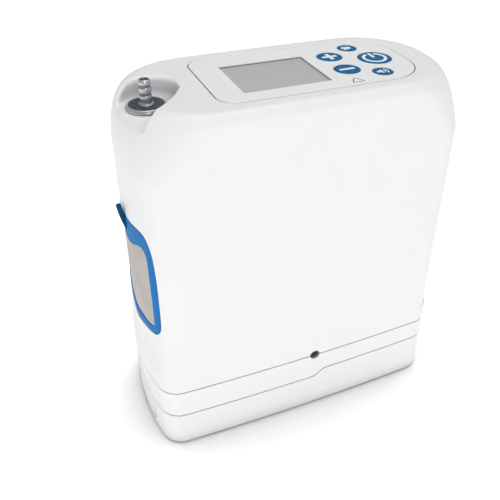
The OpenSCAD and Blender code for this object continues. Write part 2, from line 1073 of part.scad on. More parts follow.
// Piston with its rod; the rod ends clear of the crank pin's sweep.
module piston(s) {
    translate([crank_x, 0, crank_z])
        rotate([0, 0, s]) {
            translate([0, 18.5, 0])
                rotate([-90, 0, 0])
                    cylinder(r = cyl_r - piston_gap, h = 5.5);
            translate([-1.5, 10.4, -2.5])
                cube([5, 8.2, 5]);
        }
}

module piston_a() {
    color("lightgray")
        piston(0);
}

module piston_b() {
    color("lightgray")
        piston(180);
}

module isolators() {
    color("black")
        for (x = [-44, 18], y = [-19, 19])
            translate([x, y, 48.42])
                difference() {
                    cylinder(r = 5, h = 9.96);
                    translate([0, 0, 3.6])
                        tube(6, 3.6, 2);
                }
}

module fan_frame() {
    color("black")
        translate([fan_x, 0, fan_z])
            rotate([0, 90, 0]) {
                difference() {
                    translate([-25, -25, -7.5])
                        cube([50, 50, 15]);
                    translate([0, 0, -8])
                        cylinder(r = 23.4, h = 16);
                    for (x = [-21, 21], y = [-21, 21])
                        translate([x, y, -8])
                            cylinder(r = 1.7, h = 16);
                }
                translate([0, 0, 4.9])
                    cylinder(r = 10, h = 2.6);
                for (a = [0:90:270])
                    rotate([0, 0, a])
                        translate([9, -1.5, 5.3])
                            cube([15, 3, 2.1]);
                translate([0, 0, -4.4])
                    cylinder(r = 1.5, h = 9.5);
            }
}

module fan_rotor() {
    color("dimgray")
        translate([fan_x, 0, fan_z])
            rotate([0, 90, 0]) {
                difference() {
                    translate([0, 0, -7])
                        cylinder(r = 10, h = 11.2);
                    translate([0, 0, -5.4])
                        cylinder(r = 1.56, h = 10);
                }
                for (a = [0:360 / 7:359])
                    rotate([0, 0, a])
                        translate([9.4, 0, -1.6])
                            rotate([38, 0, 0])
                                translate([0, -4.6, -0.6])
                                    cube([12.6, 9.2, 1.2]);
            }
}

module intake_muffler() {
    color("gray")
        translate([-80, -26, 48.5])
            difference() {
                cube([17, 52, 26]);
                translate([1.8, 1.8, 1.8])
                    cube([13.4, 48.4, 22.4]);
                translate([-2, 21, 8])
                    cube([5, 10, 10]);
            }
}

module valve_manifold() {
    color("gray")
        difference() {
            translate([-54, -18, 118])
                cube([72, 36, 14]);
            for (x = [-46, -31, -16, -1])
                translate([x, 0, 124])
                    cylinder(r = 3, h = 10);
        }
}

module solenoid_valves() {
    color("silver")
        for (x = [-46, -31, -16, -1])
            translate([x, 0, 132.02]) {
                cylinder(r = 6.6, h = 22);
                translate([0, 0, 22])
                    cylinder(r = 2, h = 3);
            }
}

module product_tank() {
    color("gray")
        translate([33, 0, 48.5])
            difference() {
                linear_extrude(96.6)
                    stadium(9.5, 12);
                translate([0, 0, 2])
                    linear_extrude(92.6)
                        stadium(7.7, 12);
            }
}

module oxygen_sensor() {
    color("darkgreen")
        translate([25, -11, 145.2])
            cube([16, 22, 9]);
    color("silver")
        translate([33, 0, 154.1])
            cylinder(r = 4, h = 5);
}

module hoses() {
    hose_r = 2.6;
    color("ghostwhite") {
        // cylinder heads up to the manifold
        for (s = [-1, 1]) {
            translate([crank_x - 8 * s, s * 30.5, crank_z + 22])
                cylinder(r = hose_r, h = 22);
            translate([crank_x - 8 * s, s * 30.5, crank_z + 44])
                sphere(r = hose_r);
            translate([crank_x - 8 * s, s * 30.5, crank_z + 44])
                rotate([s * 90, 0, 0])
                    cylinder(r = hose_r, h = 12.4);
        }
        // oxygen line to the nozzle
        translate([nozzle_x, 0, 160])
            cylinder(r = hose_r, h = 27);
        translate([nozzle_x, 0, 160])
            sphere(r = hose_r);
        translate([nozzle_x, 0, 160])
            rotate([0, 90, 0])
                cylinder(r = hose_r, h = 28.9 - nozzle_x);
    }
}

module sieve_columns() {
    color("silver")
        for (s = [-1, 1])
            translate([column_x, s * column_y, 52])
                tube(column_r, column_r - 1.4, 108);
}

module sieve_beds() {
    color("wheat")
        for (s = [-1, 1])
            translate([column_x, s * column_y, 53])
                cylinder(r = column_r - 1.6, h = 104);
}

module column_caps() {
    color("gray") {
        difference() {
            translate([column_x, 0, 160.02])
                linear_extrude(6)
                    stadium(column_r + 1, column_y);
            for (s = [-1, 1])
                translate([column_x, s * column_y, 158])
                    cylinder(r = 3, h = 6);
        }
        translate([column_x, 0, 42])
            linear_extrude(9.9)
                stadium(column_r + 1, column_y);
        for (s = [-1, 1])
            translate([column_x, s * column_y, 166])
                cylinder(r = 3.2, h = 8);
    }
}

module column_seals() {
    color("black")
        for (s = [-1, 1])
            translate([column_x, s * column_y, 168.5])
                tube(4.4, 3.25, 2);
}

module column_handle() {
    color("gray")
        translate([column_x, 0, 0])
            difference() {
                translate([0, 0, 33.6])
                    linear_extrude(8.3)
                        stadium(column_r + 1.2, column_y);
                translate([-9, -16, 32])
                    cube([18, 32, 7]);
            }
}

module column_grip() {
    color("black")
        translate([column_x, 0, 35.4])
            difference() {
                translate([-2, -15.9, 0])
                    cube([4, 31.8, 3]);
                translate([-3, -10, 1.6])
                    cube([6, 20, 3]);
            }
}

main_housing();
base_cover();
display_overlay();
screen_window();
lcd_module();
ui_board();
key_switches();
button_plus();
button_minus();
button_power();
button_alert();
button_sound();
nozzle_fitting();
nozzle_ring();
nozzle_seal();
output_filter();
filter_frame();
filter_mesh();
filter_seat();
exhaust_grille();
dc_inlet();
port_sleeve();
base_contacts();
battery_case();
battery_lid();
battery_cells();
battery_board();
battery_contacts();
battery_feet();
battery_latch();
housing_screws();
chassis();
main_board();
board_parts();
buzzer();
compressor_body();
motor_stator();
crank_rotor();
cylinders();
cylinder_heads();
piston_a();
piston_b();
isolators();
fan_frame();
fan_rotor();
intake_muffler();
valve_manifold();
solenoid_valves();
product_tank();
oxygen_sensor();
hoses();
sieve_columns();
sieve_beds();
column_caps();
column_seals();
column_handle();
column_grip();
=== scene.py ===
"""Portable oxygen concentrator: the visible pieces and their finishes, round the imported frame.

Shapes are worked out in millimetres and become metres when a mesh is made."""

import json
import math

import bmesh
import bpy
import numpy as np
from mathutils import Matrix, Vector


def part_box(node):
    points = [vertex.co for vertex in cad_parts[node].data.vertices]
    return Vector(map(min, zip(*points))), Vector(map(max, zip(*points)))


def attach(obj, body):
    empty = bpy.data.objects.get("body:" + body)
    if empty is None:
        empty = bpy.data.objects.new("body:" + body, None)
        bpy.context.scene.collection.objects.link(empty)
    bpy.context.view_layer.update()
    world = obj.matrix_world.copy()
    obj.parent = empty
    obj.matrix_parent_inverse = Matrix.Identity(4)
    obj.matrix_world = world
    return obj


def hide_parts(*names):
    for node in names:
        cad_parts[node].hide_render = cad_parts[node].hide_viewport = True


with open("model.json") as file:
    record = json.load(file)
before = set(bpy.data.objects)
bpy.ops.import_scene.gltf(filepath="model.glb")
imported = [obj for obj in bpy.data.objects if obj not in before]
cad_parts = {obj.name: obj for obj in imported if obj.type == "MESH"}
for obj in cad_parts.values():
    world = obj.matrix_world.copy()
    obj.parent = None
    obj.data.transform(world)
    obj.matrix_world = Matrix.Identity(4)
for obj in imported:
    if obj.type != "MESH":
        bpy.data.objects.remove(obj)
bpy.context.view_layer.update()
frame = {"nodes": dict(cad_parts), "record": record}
nodes = frame["nodes"]
MM = 0.001


def box_mm(node):
    """Lowest and highest corner of a CAD node, in millimetres."""
    low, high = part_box(node)
    return np.array(low) / MM, np.array(high) / MM


# ---- sizes
HOUSING_LOW, HOUSING_HIGH = box_mm("main_housing")
BATTERY_LOW, BATTERY_HIGH = box_mm("battery_case")
PANEL_LOW, PANEL_HIGH = box_mm("display_overlay")
NOZZLE_LOW, NOZZLE_HIGH = box_mm("nozzle_fitting")

# outside sizes, the open joint under the housing, and the wall
HALF_L = BATTERY_HIGH[0]
HALF_W = BATTERY_HIGH[1]
TOP = HOUSING_HIGH[2]
HOUSING_Z = HOUSING_LOW[2]
SEAM_GAP = 0.5
BASE_TOP = HOUSING_Z - SEAM_GAP
FOOT_H = BATTERY_LOW[2]
WALL = 2.4

# plan outline
CORNER_R = 13.0
CROWN_R = 1830.0
SIDE_R = 130.0
END_STEP = 1.8
UPPER_L = HALF_L - END_STEP
STEP_Z = 53.5

# rounded shoulder under the flat top
RIM_H = 30.0
RIM_IN = 10.5
RIM_CORNER_R = 35.0
RIM_SIDE_R = 61.0
EDGE_R = 5.5

# nozzle pocket
NOZZLE_X = (NOZZLE_LOW[0] + NOZZLE_HIGH[0]) / 2
PLUG_X, PLUG_R = -78.0, 29.5
WALL_X, WALL_Y, WALL_R, WALL_LEAN = -69.3, 3.0, 12.8, math.radians(125.8)
POCKET_Z = 196.5
COLLAR_TOP = 197.1
LIP_X, LIP_Y, LIP_R = -108.7, 21.8, 57.1
LIP_FRONT = -26.5

# battery joint line, low at the latch end and high at the far end: (x, z) where its S starts and ends
JOG_LOW, JOG_HIGH = (4.2, 24.4), (12.6, 29.0)

# front port
PORT_X, PORT_Z, PORT_R = 4.5, 43.0, 3.05

# intake filter: thickness of its frame, depth of its seat in the housing, heights that its layers span
FILTER_T = 2.6
SEAT_DEPTH = 3.9
LAYER_LOW, LAYER_HIGH = 60, 150

# openings of the exhaust and the power inlet in the +X end, and the grille (y0, y1, z0, z1, corner radius)
VENT_HOLE = (-22, 22, 92, 148, 5)
INLET_HOLE = (-7.2, 7.2, 65, 75.4, 1)
GRILLE_EDGE = (-21.7, 21.7, 92.3, 147.7, 4.7)

# ends of cutters that pass right through a wall: above the top, and beyond and inside the -X end
ABOVE = TOP + 5
BEYOND, INSIDE = -110, -60
# rim radius that stands for a square edge
SQUARE = 0.001
# heights that clear the filter's seat
SEAT_SPAN = (30, 190)


# ---- fields
def smooth_step(v, low, high):
    """0 below low, 1 above high, with a smooth S between them."""
    t = np.clip((v - low) / (high - low), 0, 1)
    return t * t * (3 - 2 * t)


def round_and(a, b, r):
    """Both a and b below zero, with the edge between them rounded to the radius r."""
    return np.minimum(np.maximum(a, b), -r) + np.hypot(np.maximum(a + r, 0), np.maximum(b + r, 0))


def round_or(a, b, r):
    """Either a or b below zero, with the corner between them filled to the radius r."""
    return np.maximum(np.minimum(a, b), r) - np.hypot(np.maximum(r - a, 0), np.maximum(r - b, 0))


def corner_centre(a, b, rc, rs):
    """Centre of the corner circle that touches both the crowned face and the bowed side."""
    fy = b - CROWN_R
    sx = a - rs
    gap = np.hypot(sx, fy)
    d1, d2 = CROWN_R - rc, rs - rc
    along = (d1 * d1 - d2 * d2 + gap * gap) / (2 * gap)
    h = np.sqrt(np.maximum(d1 * d1 - along * along, 0))
    return sx * along / gap - h * fy / gap, fy - fy * along / gap - h * sx / gap


def plan_distance(x, y, a, b, rc, rs):
    """Distance from the plan outline: crowned long faces, bowed narrow sides, round corners."""
    x, y = np.abs(x), np.abs(y)
    fy, sx = b - CROWN_R, a - rs
    cx, cy = corner_centre(a, b, rc, rs)
    front = np.hypot(x, y - fy) - CROWN_R
    side = np.hypot(x - sx, y) - rs
    corner = np.hypot(x - cx, y - cy) - rc
    past_front = cx * (y - cy) - (cy - fy) * (x - cx) < 0
    past_side = (cx - sx) * (y - cy) - cy * (x - cx) > 0
    return np.where(past_front & past_side, corner, np.maximum(front, side))


def case_distance(x, y, z):
    """Distance from the housing's outer skin, shoulder and end step included."""
    rise = np.clip((z - TOP + RIM_H) / RIM_H, 0, 1)
    end_in = RIM_IN * (1 - np.sqrt(np.maximum(1 - rise * rise, 0)))
    near = np.clip(z - TOP + EDGE_R, 0, EDGE_R)
    edge_in = EDGE_R - np.sqrt(np.maximum(EDGE_R**2 - near * near, 0))
    ledge = smooth_step(z, STEP_Z - 0.8, STEP_Z + 0.8)
    flare = smooth_step(z, STEP_Z - 4, STEP_Z + 16)
    step = END_STEP * (1 - np.where(x > 0, ledge, flare))
    a = UPPER_L + step - end_in
    rc = CORNER_R + (RIM_CORNER_R - CORNER_R) * rise
    rs = SIDE_R + (RIM_SIDE_R - SIDE_R) * rise
    return np.maximum(plan_distance(x, y, a, HALF_W - edge_in, rc, rs), z - TOP)


def slope_of(field, x, y, z, h=0.02):
    """Slope of a field by central differences."""
    return np.stack([
        field(x + h, y, z) - field(x - h, y, z),
        field(x, y + h, z) - field(x, y - h, z),
        field(x, y, z + h) - field(x, y, z - h),
    ]) / (2 * h)


def pocket_space(x, y, z):
    """Pocket walls, floor with its collar, and which of the walls is nearer."""
    u, v = x - WALL_X, y - WALL_Y
    lean_x, lean_y = math.cos(WALL_LEAN), math.sin(WALL_LEAN)
    on_arc = (v > 0) & (u * lean_y - v * lean_x > 0)
    back = np.where(on_arc, np.hypot(u, v), np.maximum(u, u * lean_x + v * lean_y)) - WALL_R
    lip = np.hypot(x - LIP_X, y - LIP_Y) - LIP_R
    front = round_and(lip, LIP_FRONT - y, 1.5)
    axis_r = np.hypot(x - NOZZLE_X, y)
    collar = round_and((axis_r - 12.2 - (COLLAR_TOP - z) * 0.8) * 0.8, z - COLLAR_TOP, 0.5)
    return np.maximum(back, front), round_or(z - POCKET_Z, collar, 0.8), front - back


def housing_field(x, y, z):
    """Distance from the housing's outside with the nozzle pocket cut in; below zero inside."""
    outer = case_distance(x, y, z)
    near = np.broadcast_to((x < -50) & (z > 184), outer.shape)
    value = round_and(outer, HOUSING_Z - z, 0.4)
    if not near.any():
        return value
    px, py, pz = (np.broadcast_to(c, outer.shape)[near] for c in (x, y, z))
    steep = np.sqrt((slope_of(case_distance, px, py, pz) ** 2).sum(0))
    skin = outer[near] / np.maximum(steep, 0.5)
    wall, ground, side = pocket_space(px, py, pz)
    fillet = 0.8 + 2.4 * smooth_step(py, -4.0, 8.0)
    space = round_and(wall, -ground, fillet)
    at_wall = smooth_step(wall + ground, -1.5, 1.5)
    lip_r = 0.45 + 1.9 * (1 - smooth_step(side, -5.0, 1.0)) * at_wall + 0.7 * (1 - at_wall)
    value = value.copy()
    value[near] = np.where(pz > 186, round_and(skin, -space, lip_r), skin)
    return value


def grid_lines(*runs):
    """Grid coordinates from runs of (start, stop, spacing)."""
    parts = [np.linspace(a, b, max(2, round((b - a) / step) + 1)) for a, b, step in runs]
    return np.unique(np.round(np.concatenate(parts), 6))


def settle(field, points, rounds=6, reach=0.6):
    """Draws points onto the zero level of a field along its slope."""
    for _ in range(rounds):
        x, y, z = points.T
        slope = slope_of(field, x, y, z)
        move = field(x, y, z) / np.maximum((slope**2).sum(0), 0.05)
        points -= np.clip((slope * move).T, -reach, reach)
    return points


def surface_net(field, lines):
    """Points and quads on the zero level of a field sampled on a grid."""
    values = field(*np.meshgrid(*lines, indexing="ij", sparse=True))
    strides = np.array([values.shape[1] * values.shape[2], values.shape[2], 1])
    total = np.zeros((values.size, 3))
    count = np.zeros(values.size)
    quads = []
    for axis in range(3):
        low = tuple(slice(None, -1) if i == axis else slice(None) for i in range(3))
        high = tuple(slice(1, None) if i == axis else slice(None) for i in range(3))
        a, b = values[low], values[high]
        at = np.argwhere((a < 0) != (b < 0))
        va, vb = a[tuple(at.T)], b[tuple(at.T)]
        point = np.stack([lines[i][at[:, i]] for i in range(3)], axis=1)
        span = lines[axis][at[:, axis] + 1] - lines[axis][at[:, axis]]
        point[:, axis] += span * va / (va - vb)
        u, v = strides[(axis + 1) % 3], strides[(axis + 2) % 3]
        cell = at @ strides
        ring = np.stack([cell, cell - u, cell - u - v, cell - v], axis=1)
        for k in range(4):
            np.add.at(total, ring[:, k], point)
            np.add.at(count, ring[:, k], 1)
        ring[va >= 0] = ring[va >= 0][:, ::-1]
        quads.append(ring)
    used = np.flatnonzero(count)
    number = np.zeros(values.size, int)
    number[used] = np.arange(len(used))
    points = total[used] / count[used, None]
    return settle(field, points), number[np.concatenate(quads)]


# ---- mesh helpers
def placed(name, data):
    """A new object in the scene."""
    ob = bpy.data.objects.new(name, data)
    bpy.context.scene.collection.objects.link(ob)
    return ob


def mesh_object(name, points, faces):
    """A Blender object from points in millimetres."""
    mesh = bpy.data.meshes.new(name)
    mesh.from_pydata(np.asarray(points, float).dot(MM).tolist(), [], [list(map(int, f)) for f in faces])
    mesh.validate()
    return placed(name, mesh)


def rework(mesh, step):
    """Runs a bmesh step on a mesh."""
    work = bmesh.new()
    work.from_mesh(mesh)
    step(work)
    work.to_mesh(mesh)
    work.free()


def apply_all(ob):
    """Applies every modifier of the object."""
    graph = bpy.context.evaluated_depsgraph_get()
    mesh = bpy.data.meshes.new_from_object(ob.evaluated_get(graph))
    ob.modifiers.clear()
    ob.data = mesh
    return ob


def combine(ob, other, operation="DIFFERENCE"):
    """Boolean of two closed meshes; the second is used up."""
    mod = ob.modifiers.new("combine", "BOOLEAN")
    mod.object = other
    mod.operation = operation
    mod.solver = "MANIFOLD"
    bpy.context.view_layer.update()
    apply_all(ob)
    bpy.data.objects.remove(other)
    return ob


def soften(ob, angle=34):
    """Smooth shading with sharp edges past an angle and flats that stay flat."""
    mesh = ob.data
    mesh.polygons.foreach_set("use_smooth", np.ones(len(mesh.polygons), bool))
    mesh.set_sharp_from_angle(angle=math.radians(angle))
    mod = ob.modifiers.new("normals", "WEIGHTED_NORMAL")
    mod.keep_sharp = True
    mod.weight = 60
    return apply_all(ob)


def piece(ob, body, slot, material, *replaced):
    """Puts an object on its body with its finish and hides the CAD nodes that it stands for; the slot is not
    used.
    """
    ob.data.materials.clear()
    ob.data.materials.append(MATERIALS[material])
    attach(ob, body)
    if replaced:
        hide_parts(*replaced)


def arc(cx, cy, r, a0, a1, n):
    """Points along a circle arc, angles in degrees."""
    t = np.radians(np.linspace(a0, a1, n + 1))
    return np.stack([cx + r * np.cos(t), cy + r * np.sin(t)], axis=1)


def stack(rings, closed=True):
    """Points and faces of stacked rings of equal count, capped at both ends."""
    n = len(rings[0])
    points = np.concatenate(rings)
    faces = []
    for k in range(len(rings) - 1):
        for i in range(n):
            j = (i + 1) % n
            faces.append((k * n + i, k * n + j, (k + 1) * n + j, (k + 1) * n + i))
    if closed:
        faces.append(tuple(range(n - 1, -1, -1)))
        faces.append(tuple((len(rings) - 1) * n + i for i in range(n)))
    return points, faces


def raised(flat, value, axis=2):
    """Flat points made 3-D: value is their place, or their places, along the axis that they lack."""
    return np.insert(flat, axis, value, axis=1)


def upright(name, outline, levels):
    """Closed solid of an outline function of its growth, at (growth, z) levels from low to high."""
    return mesh_object(name, *stack([raised(outline(grow), z) for grow, z in levels]))


def endwise(name, outline, levels):
    """Closed solid of an end-view (y, z) outline function, at (growth, x) levels from low to high x."""
    return mesh_object(name, *stack([raised(outline(grow), x, 0) for grow, x in levels]))


def end_skin_x(y, a):
    """Distance of the bowed narrow side from the middle, below the shoulder."""
    return a - SIDE_R + np.sqrt(SIDE_R**2 - np.asarray(y) ** 2)


def end_cut(name, outline, side, a, levels, reach):
    """Cutter through a narrow side: (growth, depth under the skin) levels, then straight inward."""
    rings = [raised(outline(levels[0][0]), side * (a + 15), 0)]
    for grow, depth in levels:
        flat = outline(grow)
        rings.append(raised(flat, side * (end_skin_x(flat[:, 0], a) - depth), 0))
    rings.append(raised(flat, side * (a - reach), 0))
    if side > 0:
        rings = rings[::-1]
    return mesh_object(name, *stack(rings))


def disc(cx, cy, r, n=72):
    """Outline function of a circle."""
    return lambda grow: arc(cx, cy, r + grow, 0, 360 - 360 / n, n - 1)


def round_rect(x0, x1, y0, y1, r, n=8):
    """Outline function of a rectangle with round corners, counter-clockwise."""
    def outline(grow):
        q = max(r + grow, 0.05)
        a0, a1, b0, b1 = x0 - grow + q, x1 + grow - q, y0 - grow + q, y1 + grow - q
        return np.concatenate([
            arc(a1, b0, q, -90, 0, n), arc(a1, b1, q, 0, 90, n),
            arc(a0, b1, q, 90, 180, n), arc(a0, b0, q, 180, 270, n),
        ])
    return outline


def plan_half(a, b, rc, rs, inset=0.0, n=24):
    """Front half of the plan outline from the -X tip to the +X tip, at y below zero."""
    cx, cy = corner_centre(a, b, rc, rs)
    fy, sx = b - CROWN_R, a - rs
    front_end = math.atan2(cy - fy, cx)
    side_end = math.atan2(cy, cx - sx)

    def run(x, y, r, start, stop, count):
        t = np.linspace(start, stop, count + 1)
        return np.stack([x + (r - inset) * np.cos(t), y + (r - inset) * np.sin(t)], axis=1)

    side = run(sx, 0, rs, 0, side_end, n)
    corner = run(cx, cy, rc, side_end, front_end, 2 * n)[1:]
    face = run(0, fy, CROWN_R, front_end, math.pi / 2, 2 * n)[1:]
    quarter = np.concatenate([side, corner, face])
    left = quarter * (-1, -1)
    right = quarter[-2::-1] * (1, -1)
    return np.concatenate([left, right])


def wrap_solid(name, rings):
    """Closed solid from rings given as front halves (x, y, z); the back is the mirror image."""
    m = len(rings[0])
    n = 2 * m - 2
    full = [np.concatenate([r, r[-2:0:-1] * (1, -1, 1)]) for r in rings]
    points, faces = stack(full, closed=False)
    top = (len(rings) - 1) * n
    for j in range(m - 1):
        pairs = (j, j + 1, (n - j - 1) % n, (n - j) % n)
        bottom = list(dict.fromkeys(pairs))
        faces.append(tuple(bottom[::-1]))
        faces.append(tuple(top + i for i in bottom))
    return mesh_object(name, points, faces)


def case_slab(name, a, low, high, low_r, high_r, inset=0.06):
    """Slice of the straight-sided case between two heights, which may depend on x, with rounded rims."""
    def ring(inward, level, lift):
        flat = plan_half(a, HALF_W, CORNER_R, SIDE_R, inset + inward)
        return raised(flat, (level(flat[:, 0]) if callable(level) else level) + lift)
    turns = np.radians(np.linspace(0, 90, 6))
    rings = [ring(low_r * (1 - math.sin(t)), low, low_r * (1 - math.cos(t))) for t in turns]
    rings += [ring(high_r * (1 - math.cos(t)), high, -high_r * (1 - math.sin(t))) for t in turns]
    return wrap_solid(name, rings)


# ---- materials
def node_tools(tree):
    """Functions that add a node to a tree and that fill a node's inputs with links or plain values."""
    def fill(node, inputs):
        for key, value in inputs.items():
            if isinstance(value, bpy.types.NodeSocket):
                tree.links.new(value, node.inputs[key])
            else:
                node.inputs[key].default_value = value
        return node

    def add(kind, inputs=(), **settings):
        node = tree.nodes.new(kind)
        for key, value in settings.items():
            setattr(node, key, value)
        return fill(node, dict(inputs))

    return add, fill


MATERIALS = {}


def node_material(name):
    """Starts a material: a function that adds nodes to it and one that fills its shader's inputs."""
    mat = MATERIALS[name] = bpy.data.materials.new(name)
    mat.use_nodes = True
    add, fill = node_tools(mat.node_tree)
    shader = mat.node_tree.nodes["Principled BSDF"]
    return add, lambda inputs: fill(shader, inputs)


def object_place(add):
    """Object coordinates for a texture."""
    return add("ShaderNodeTexCoord").outputs["Object"]


def ramp(add, source, low, high, start=0.35, stop=0.65):
    """Maps the span from start to stop onto the span from low to high."""
    spans = {"From Min": start, "From Max": stop, "To Min": low, "To Max": high}
    return add("ShaderNodeMapRange", {"Value": source, **spans}).outputs["Result"]


def tinted(colour, by=1.0):
    """A colour made lighter or darker, with its alpha."""
    return (*[min(1, c * by) for c in colour], 1)


def blend(add, share, first, second):
    """Mix of two colours, from the first at share 0 to the second at share 1."""
    mix = add("ShaderNodeMix", {"Factor": share, "A": first, "B": second}, data_type="RGBA")
    return mix.outputs["Result"]


def bump(add, height, strength, depth, **settings):
    """Relief from a height value, depth in millimetres."""
    relief = {"Height": height, "Strength": strength, "Distance": depth * MM}
    return add("ShaderNodeBump", relief, **settings).outputs["Normal"]


# reach of the painted shade: how near two surfaces are before a moulding is painted darker between them, in
# mm
PAINTED_SHADE_REACH = 11


def moulded(name, colour, rough, grain, depth, drift, metal=0.0, coat=0.0, gloss=0.5, shade=0.0):
    """Moulded plastic or metal: fine grain, slow drift of colour, and painted shade that makes crevices
    darker by the share shade.
    """
    add, finish = node_material(name)
    place = object_place(add)
    fine = add("ShaderNodeTexNoise", {"Vector": place, "Scale": grain, "Detail": 2.0, "Roughness": 0.6})
    broad = add("ShaderNodeTexNoise", {"Vector": place, "Scale": 38.0, "Detail": 3.0, "Roughness": 0.5})
    share = ramp(add, broad.outputs["Fac"], 0.0, 1.0)
    tone = blend(add, share, tinted(colour, 1 - drift), tinted(colour, 1 + drift))
    # painted shade: ambient occlusion darkens the colour in crevices, seams and recesses
    if shade:
        near = add("ShaderNodeAmbientOcclusion", {"Distance": PAINTED_SHADE_REACH * MM}, samples=6)
        share = ramp(add, near.outputs["AO"], 0.0, 1.0, 0.1, 0.92)
        tone = blend(add, share, tinted(colour, 1 - shade), tone)
    finish({
        "Base Color": tone,
        "Roughness": ramp(add, fine.outputs["Fac"], rough - 0.04, rough + 0.04),
        "Normal": bump(add, fine.outputs["Fac"], 0.35, depth),
        "Metallic": metal, "Specular IOR Level": gloss, "Coat Weight": coat, "Coat Roughness": 0.12,
    })


def brushed(name, colour, rough, along=(1, 1, 30)):
    """Metal with fine drawn lines."""
    add, finish = node_material(name)
    scale = add("ShaderNodeMapping", {"Vector": object_place(add), "Scale": along})
    lines = add("ShaderNodeTexNoise", {"Vector": scale.outputs["Vector"], "Scale": 90.0, "Detail": 4.0})
    line = lines.outputs["Fac"]
    finish({
        "Base Color": blend(add, ramp(add, line, 0.0, 1.0), tinted(colour, 0.86), tinted(colour)),
        "Roughness": ramp(add, line, rough - 0.06, rough + 0.08),
        "Normal": bump(add, line, 0.25, 0.02),
        "Metallic": 1.0,
    })


def beads(name, colour):
    """Packed round grains, with painted shade in the gaps between them."""
    add, finish = node_material(name)
    cells = add("ShaderNodeTexVoronoi", {"Vector": object_place(add), "Scale": 620.0})
    edge = cells.outputs["Distance"]
    # painted shade: the colour darkens towards each grain's edge, into the gaps
    finish({
        "Base Color": blend(add, ramp(add, edge, 0.0, 1.0, 0.1, 0.8), tinted(colour), tinted(colour, 0.45)),
        "Normal": bump(add, edge, 0.8, 0.4, invert=True),
        "Roughness": 0.75,
    })


def circuit_board(name):
    """Green solder mask with copper tracks just showing."""
    add, finish = node_material(name)
    place = object_place(add)
    greens = {"Color1": (0.012, 0.10, 0.045, 1), "Color2": (0.015, 0.13, 0.055, 1),
              "Mortar": (0.03, 0.19, 0.08, 1)}
    tracks = add("ShaderNodeTexBrick", {"Vector": place, "Scale": 260.0, **greens})
    noise = add("ShaderNodeTexNoise", {"Vector": place, "Scale": 900.0})
    finish({"Base Color": tracks.outputs["Color"], "Roughness": ramp(add, noise.outputs["Fac"], 0.3, 0.42)})


def clear_window(name):
    """Hard clear window, with the haze of its anti-glare coat."""
    add, finish = node_material(name)
    haze = add("ShaderNodeTexNoise", {"Vector": object_place(add), "Scale": 1500.0, "Detail": 2.0})
    finish({"Base Color": (0.62, 0.64, 0.63, 1), "Alpha": 0.75,
            "Roughness": ramp(add, haze.outputs["Fac"], 0.24, 0.27)})


# name, colour and roughness; a moulding adds its grain, the depth of that in mm and the drift of its colour,
# and shade paints shade into its crevices
# painted shade: the case's seams, pocket and scoop are painted darker
moulded("case_white", (0.86, 0.86, 0.865), 0.42, 3200.0, 0.006, 0.006, shade=0.55)
moulded("keypad_grey", (0.86, 0.86, 0.865), 0.5, 4200.0, 0.005, 0.008)
moulded("key_blue", (0.001, 0.135, 0.33), 0.5, 3600.0, 0.006, 0.05, gloss=0.12)
moulded("mark_white", (0.88, 0.88, 0.87), 0.5, 5000.0, 0.003, 0.01)
moulded("display_grey", (0.60, 0.625, 0.61), 0.55, 5200.0, 0.003, 0.01)
clear_window("display_lens")
# painted shade: the nozzle's creases are painted darker
moulded("nozzle_grey", (0.46, 0.48, 0.51), 0.2, 2400.0, 0.0004, 0.02, metal=0.5, gloss=0.7, shade=0.6)
moulded("ring_dark", (0.055, 0.063, 0.075), 0.42, 1700.0, 0.05, 0.12, gloss=0.3)
moulded("filter_blue", (0.010, 0.185, 0.50), 0.55, 2600.0, 0.004, 0.03, gloss=0.06)
moulded("tab_teal", (0.001, 0.06, 0.135), 0.5, 2200.0, 0.012, 0.08, gloss=0.15)
moulded("mesh_beige", (0.68, 0.635, 0.60), 0.8, 6000.0, 0.03, 0.06)
moulded("foam_beige", (0.56, 0.515, 0.48), 0.95, 1500.0, 0.2, 0.08)
moulded("rubber_black", (0.022, 0.022, 0.024), 0.7, 1400.0, 0.04, 0.15)
moulded("inner_grey", (0.16, 0.165, 0.175), 0.5, 1800.0, 0.02, 0.06)
moulded("vent_white", (0.80, 0.80, 0.805), 0.45, 3000.0, 0.006, 0.01)
moulded("socket_black", (0.018, 0.018, 0.02), 0.36, 2000.0, 0.01, 0.1)
moulded("chip_black", (0.03, 0.03, 0.034), 0.4, 2400.0, 0.01, 0.1)
moulded("felt_white", (0.78, 0.78, 0.76), 0.95, 2500.0, 0.2, 0.04)
moulded("cell_wrap", (0.02, 0.09, 0.42), 0.25, 900.0, 0.01, 0.08, coat=0.3)
moulded("tube_silicone", (0.62, 0.65, 0.64), 0.3, 700.0, 0.01, 0.05, coat=0.2)
brushed("contact_brass", (0.82, 0.62, 0.27), 0.25)
moulded("cast_metal", (0.60, 0.61, 0.62), 0.5, 1300.0, 0.05, 0.05, metal=1.0)
brushed("rotor_steel", (0.50, 0.50, 0.52), 0.3)
brushed("screw_zinc", (0.62, 0.63, 0.65), 0.24)
brushed("copper_wound", (0.72, 0.33, 0.16), 0.35, along=(40, 1, 1))
beads("sieve_beads", (0.74, 0.66, 0.52))
circuit_board("circuit_board")


# ---- housing
# how far the printed panel ends short of the CAD panel at the +X end
PANEL_TRIM = 1.5


def keypad_outline(grow):
    """Keypad panel outline: tight corners at the -X end, wide round corners at the +X end."""
    (x0, y0), (x1, y1) = PANEL_LOW[:2] - grow, PANEL_HIGH[:2] + grow
    x1 -= PANEL_TRIM
    near, wide = 10 + grow, 22 + grow
    return np.concatenate([
        arc(x0 + near, y1 - near, near, 90, 180, 14),
        arc(x0 + near, y0 + near, near, 180, 270, 14),
        arc(x1 - wide, y0 + wide, wide, 270, 360, 24),
        arc(x1 - wide, y1 - wide, wide, 0, 90, 24),
    ])


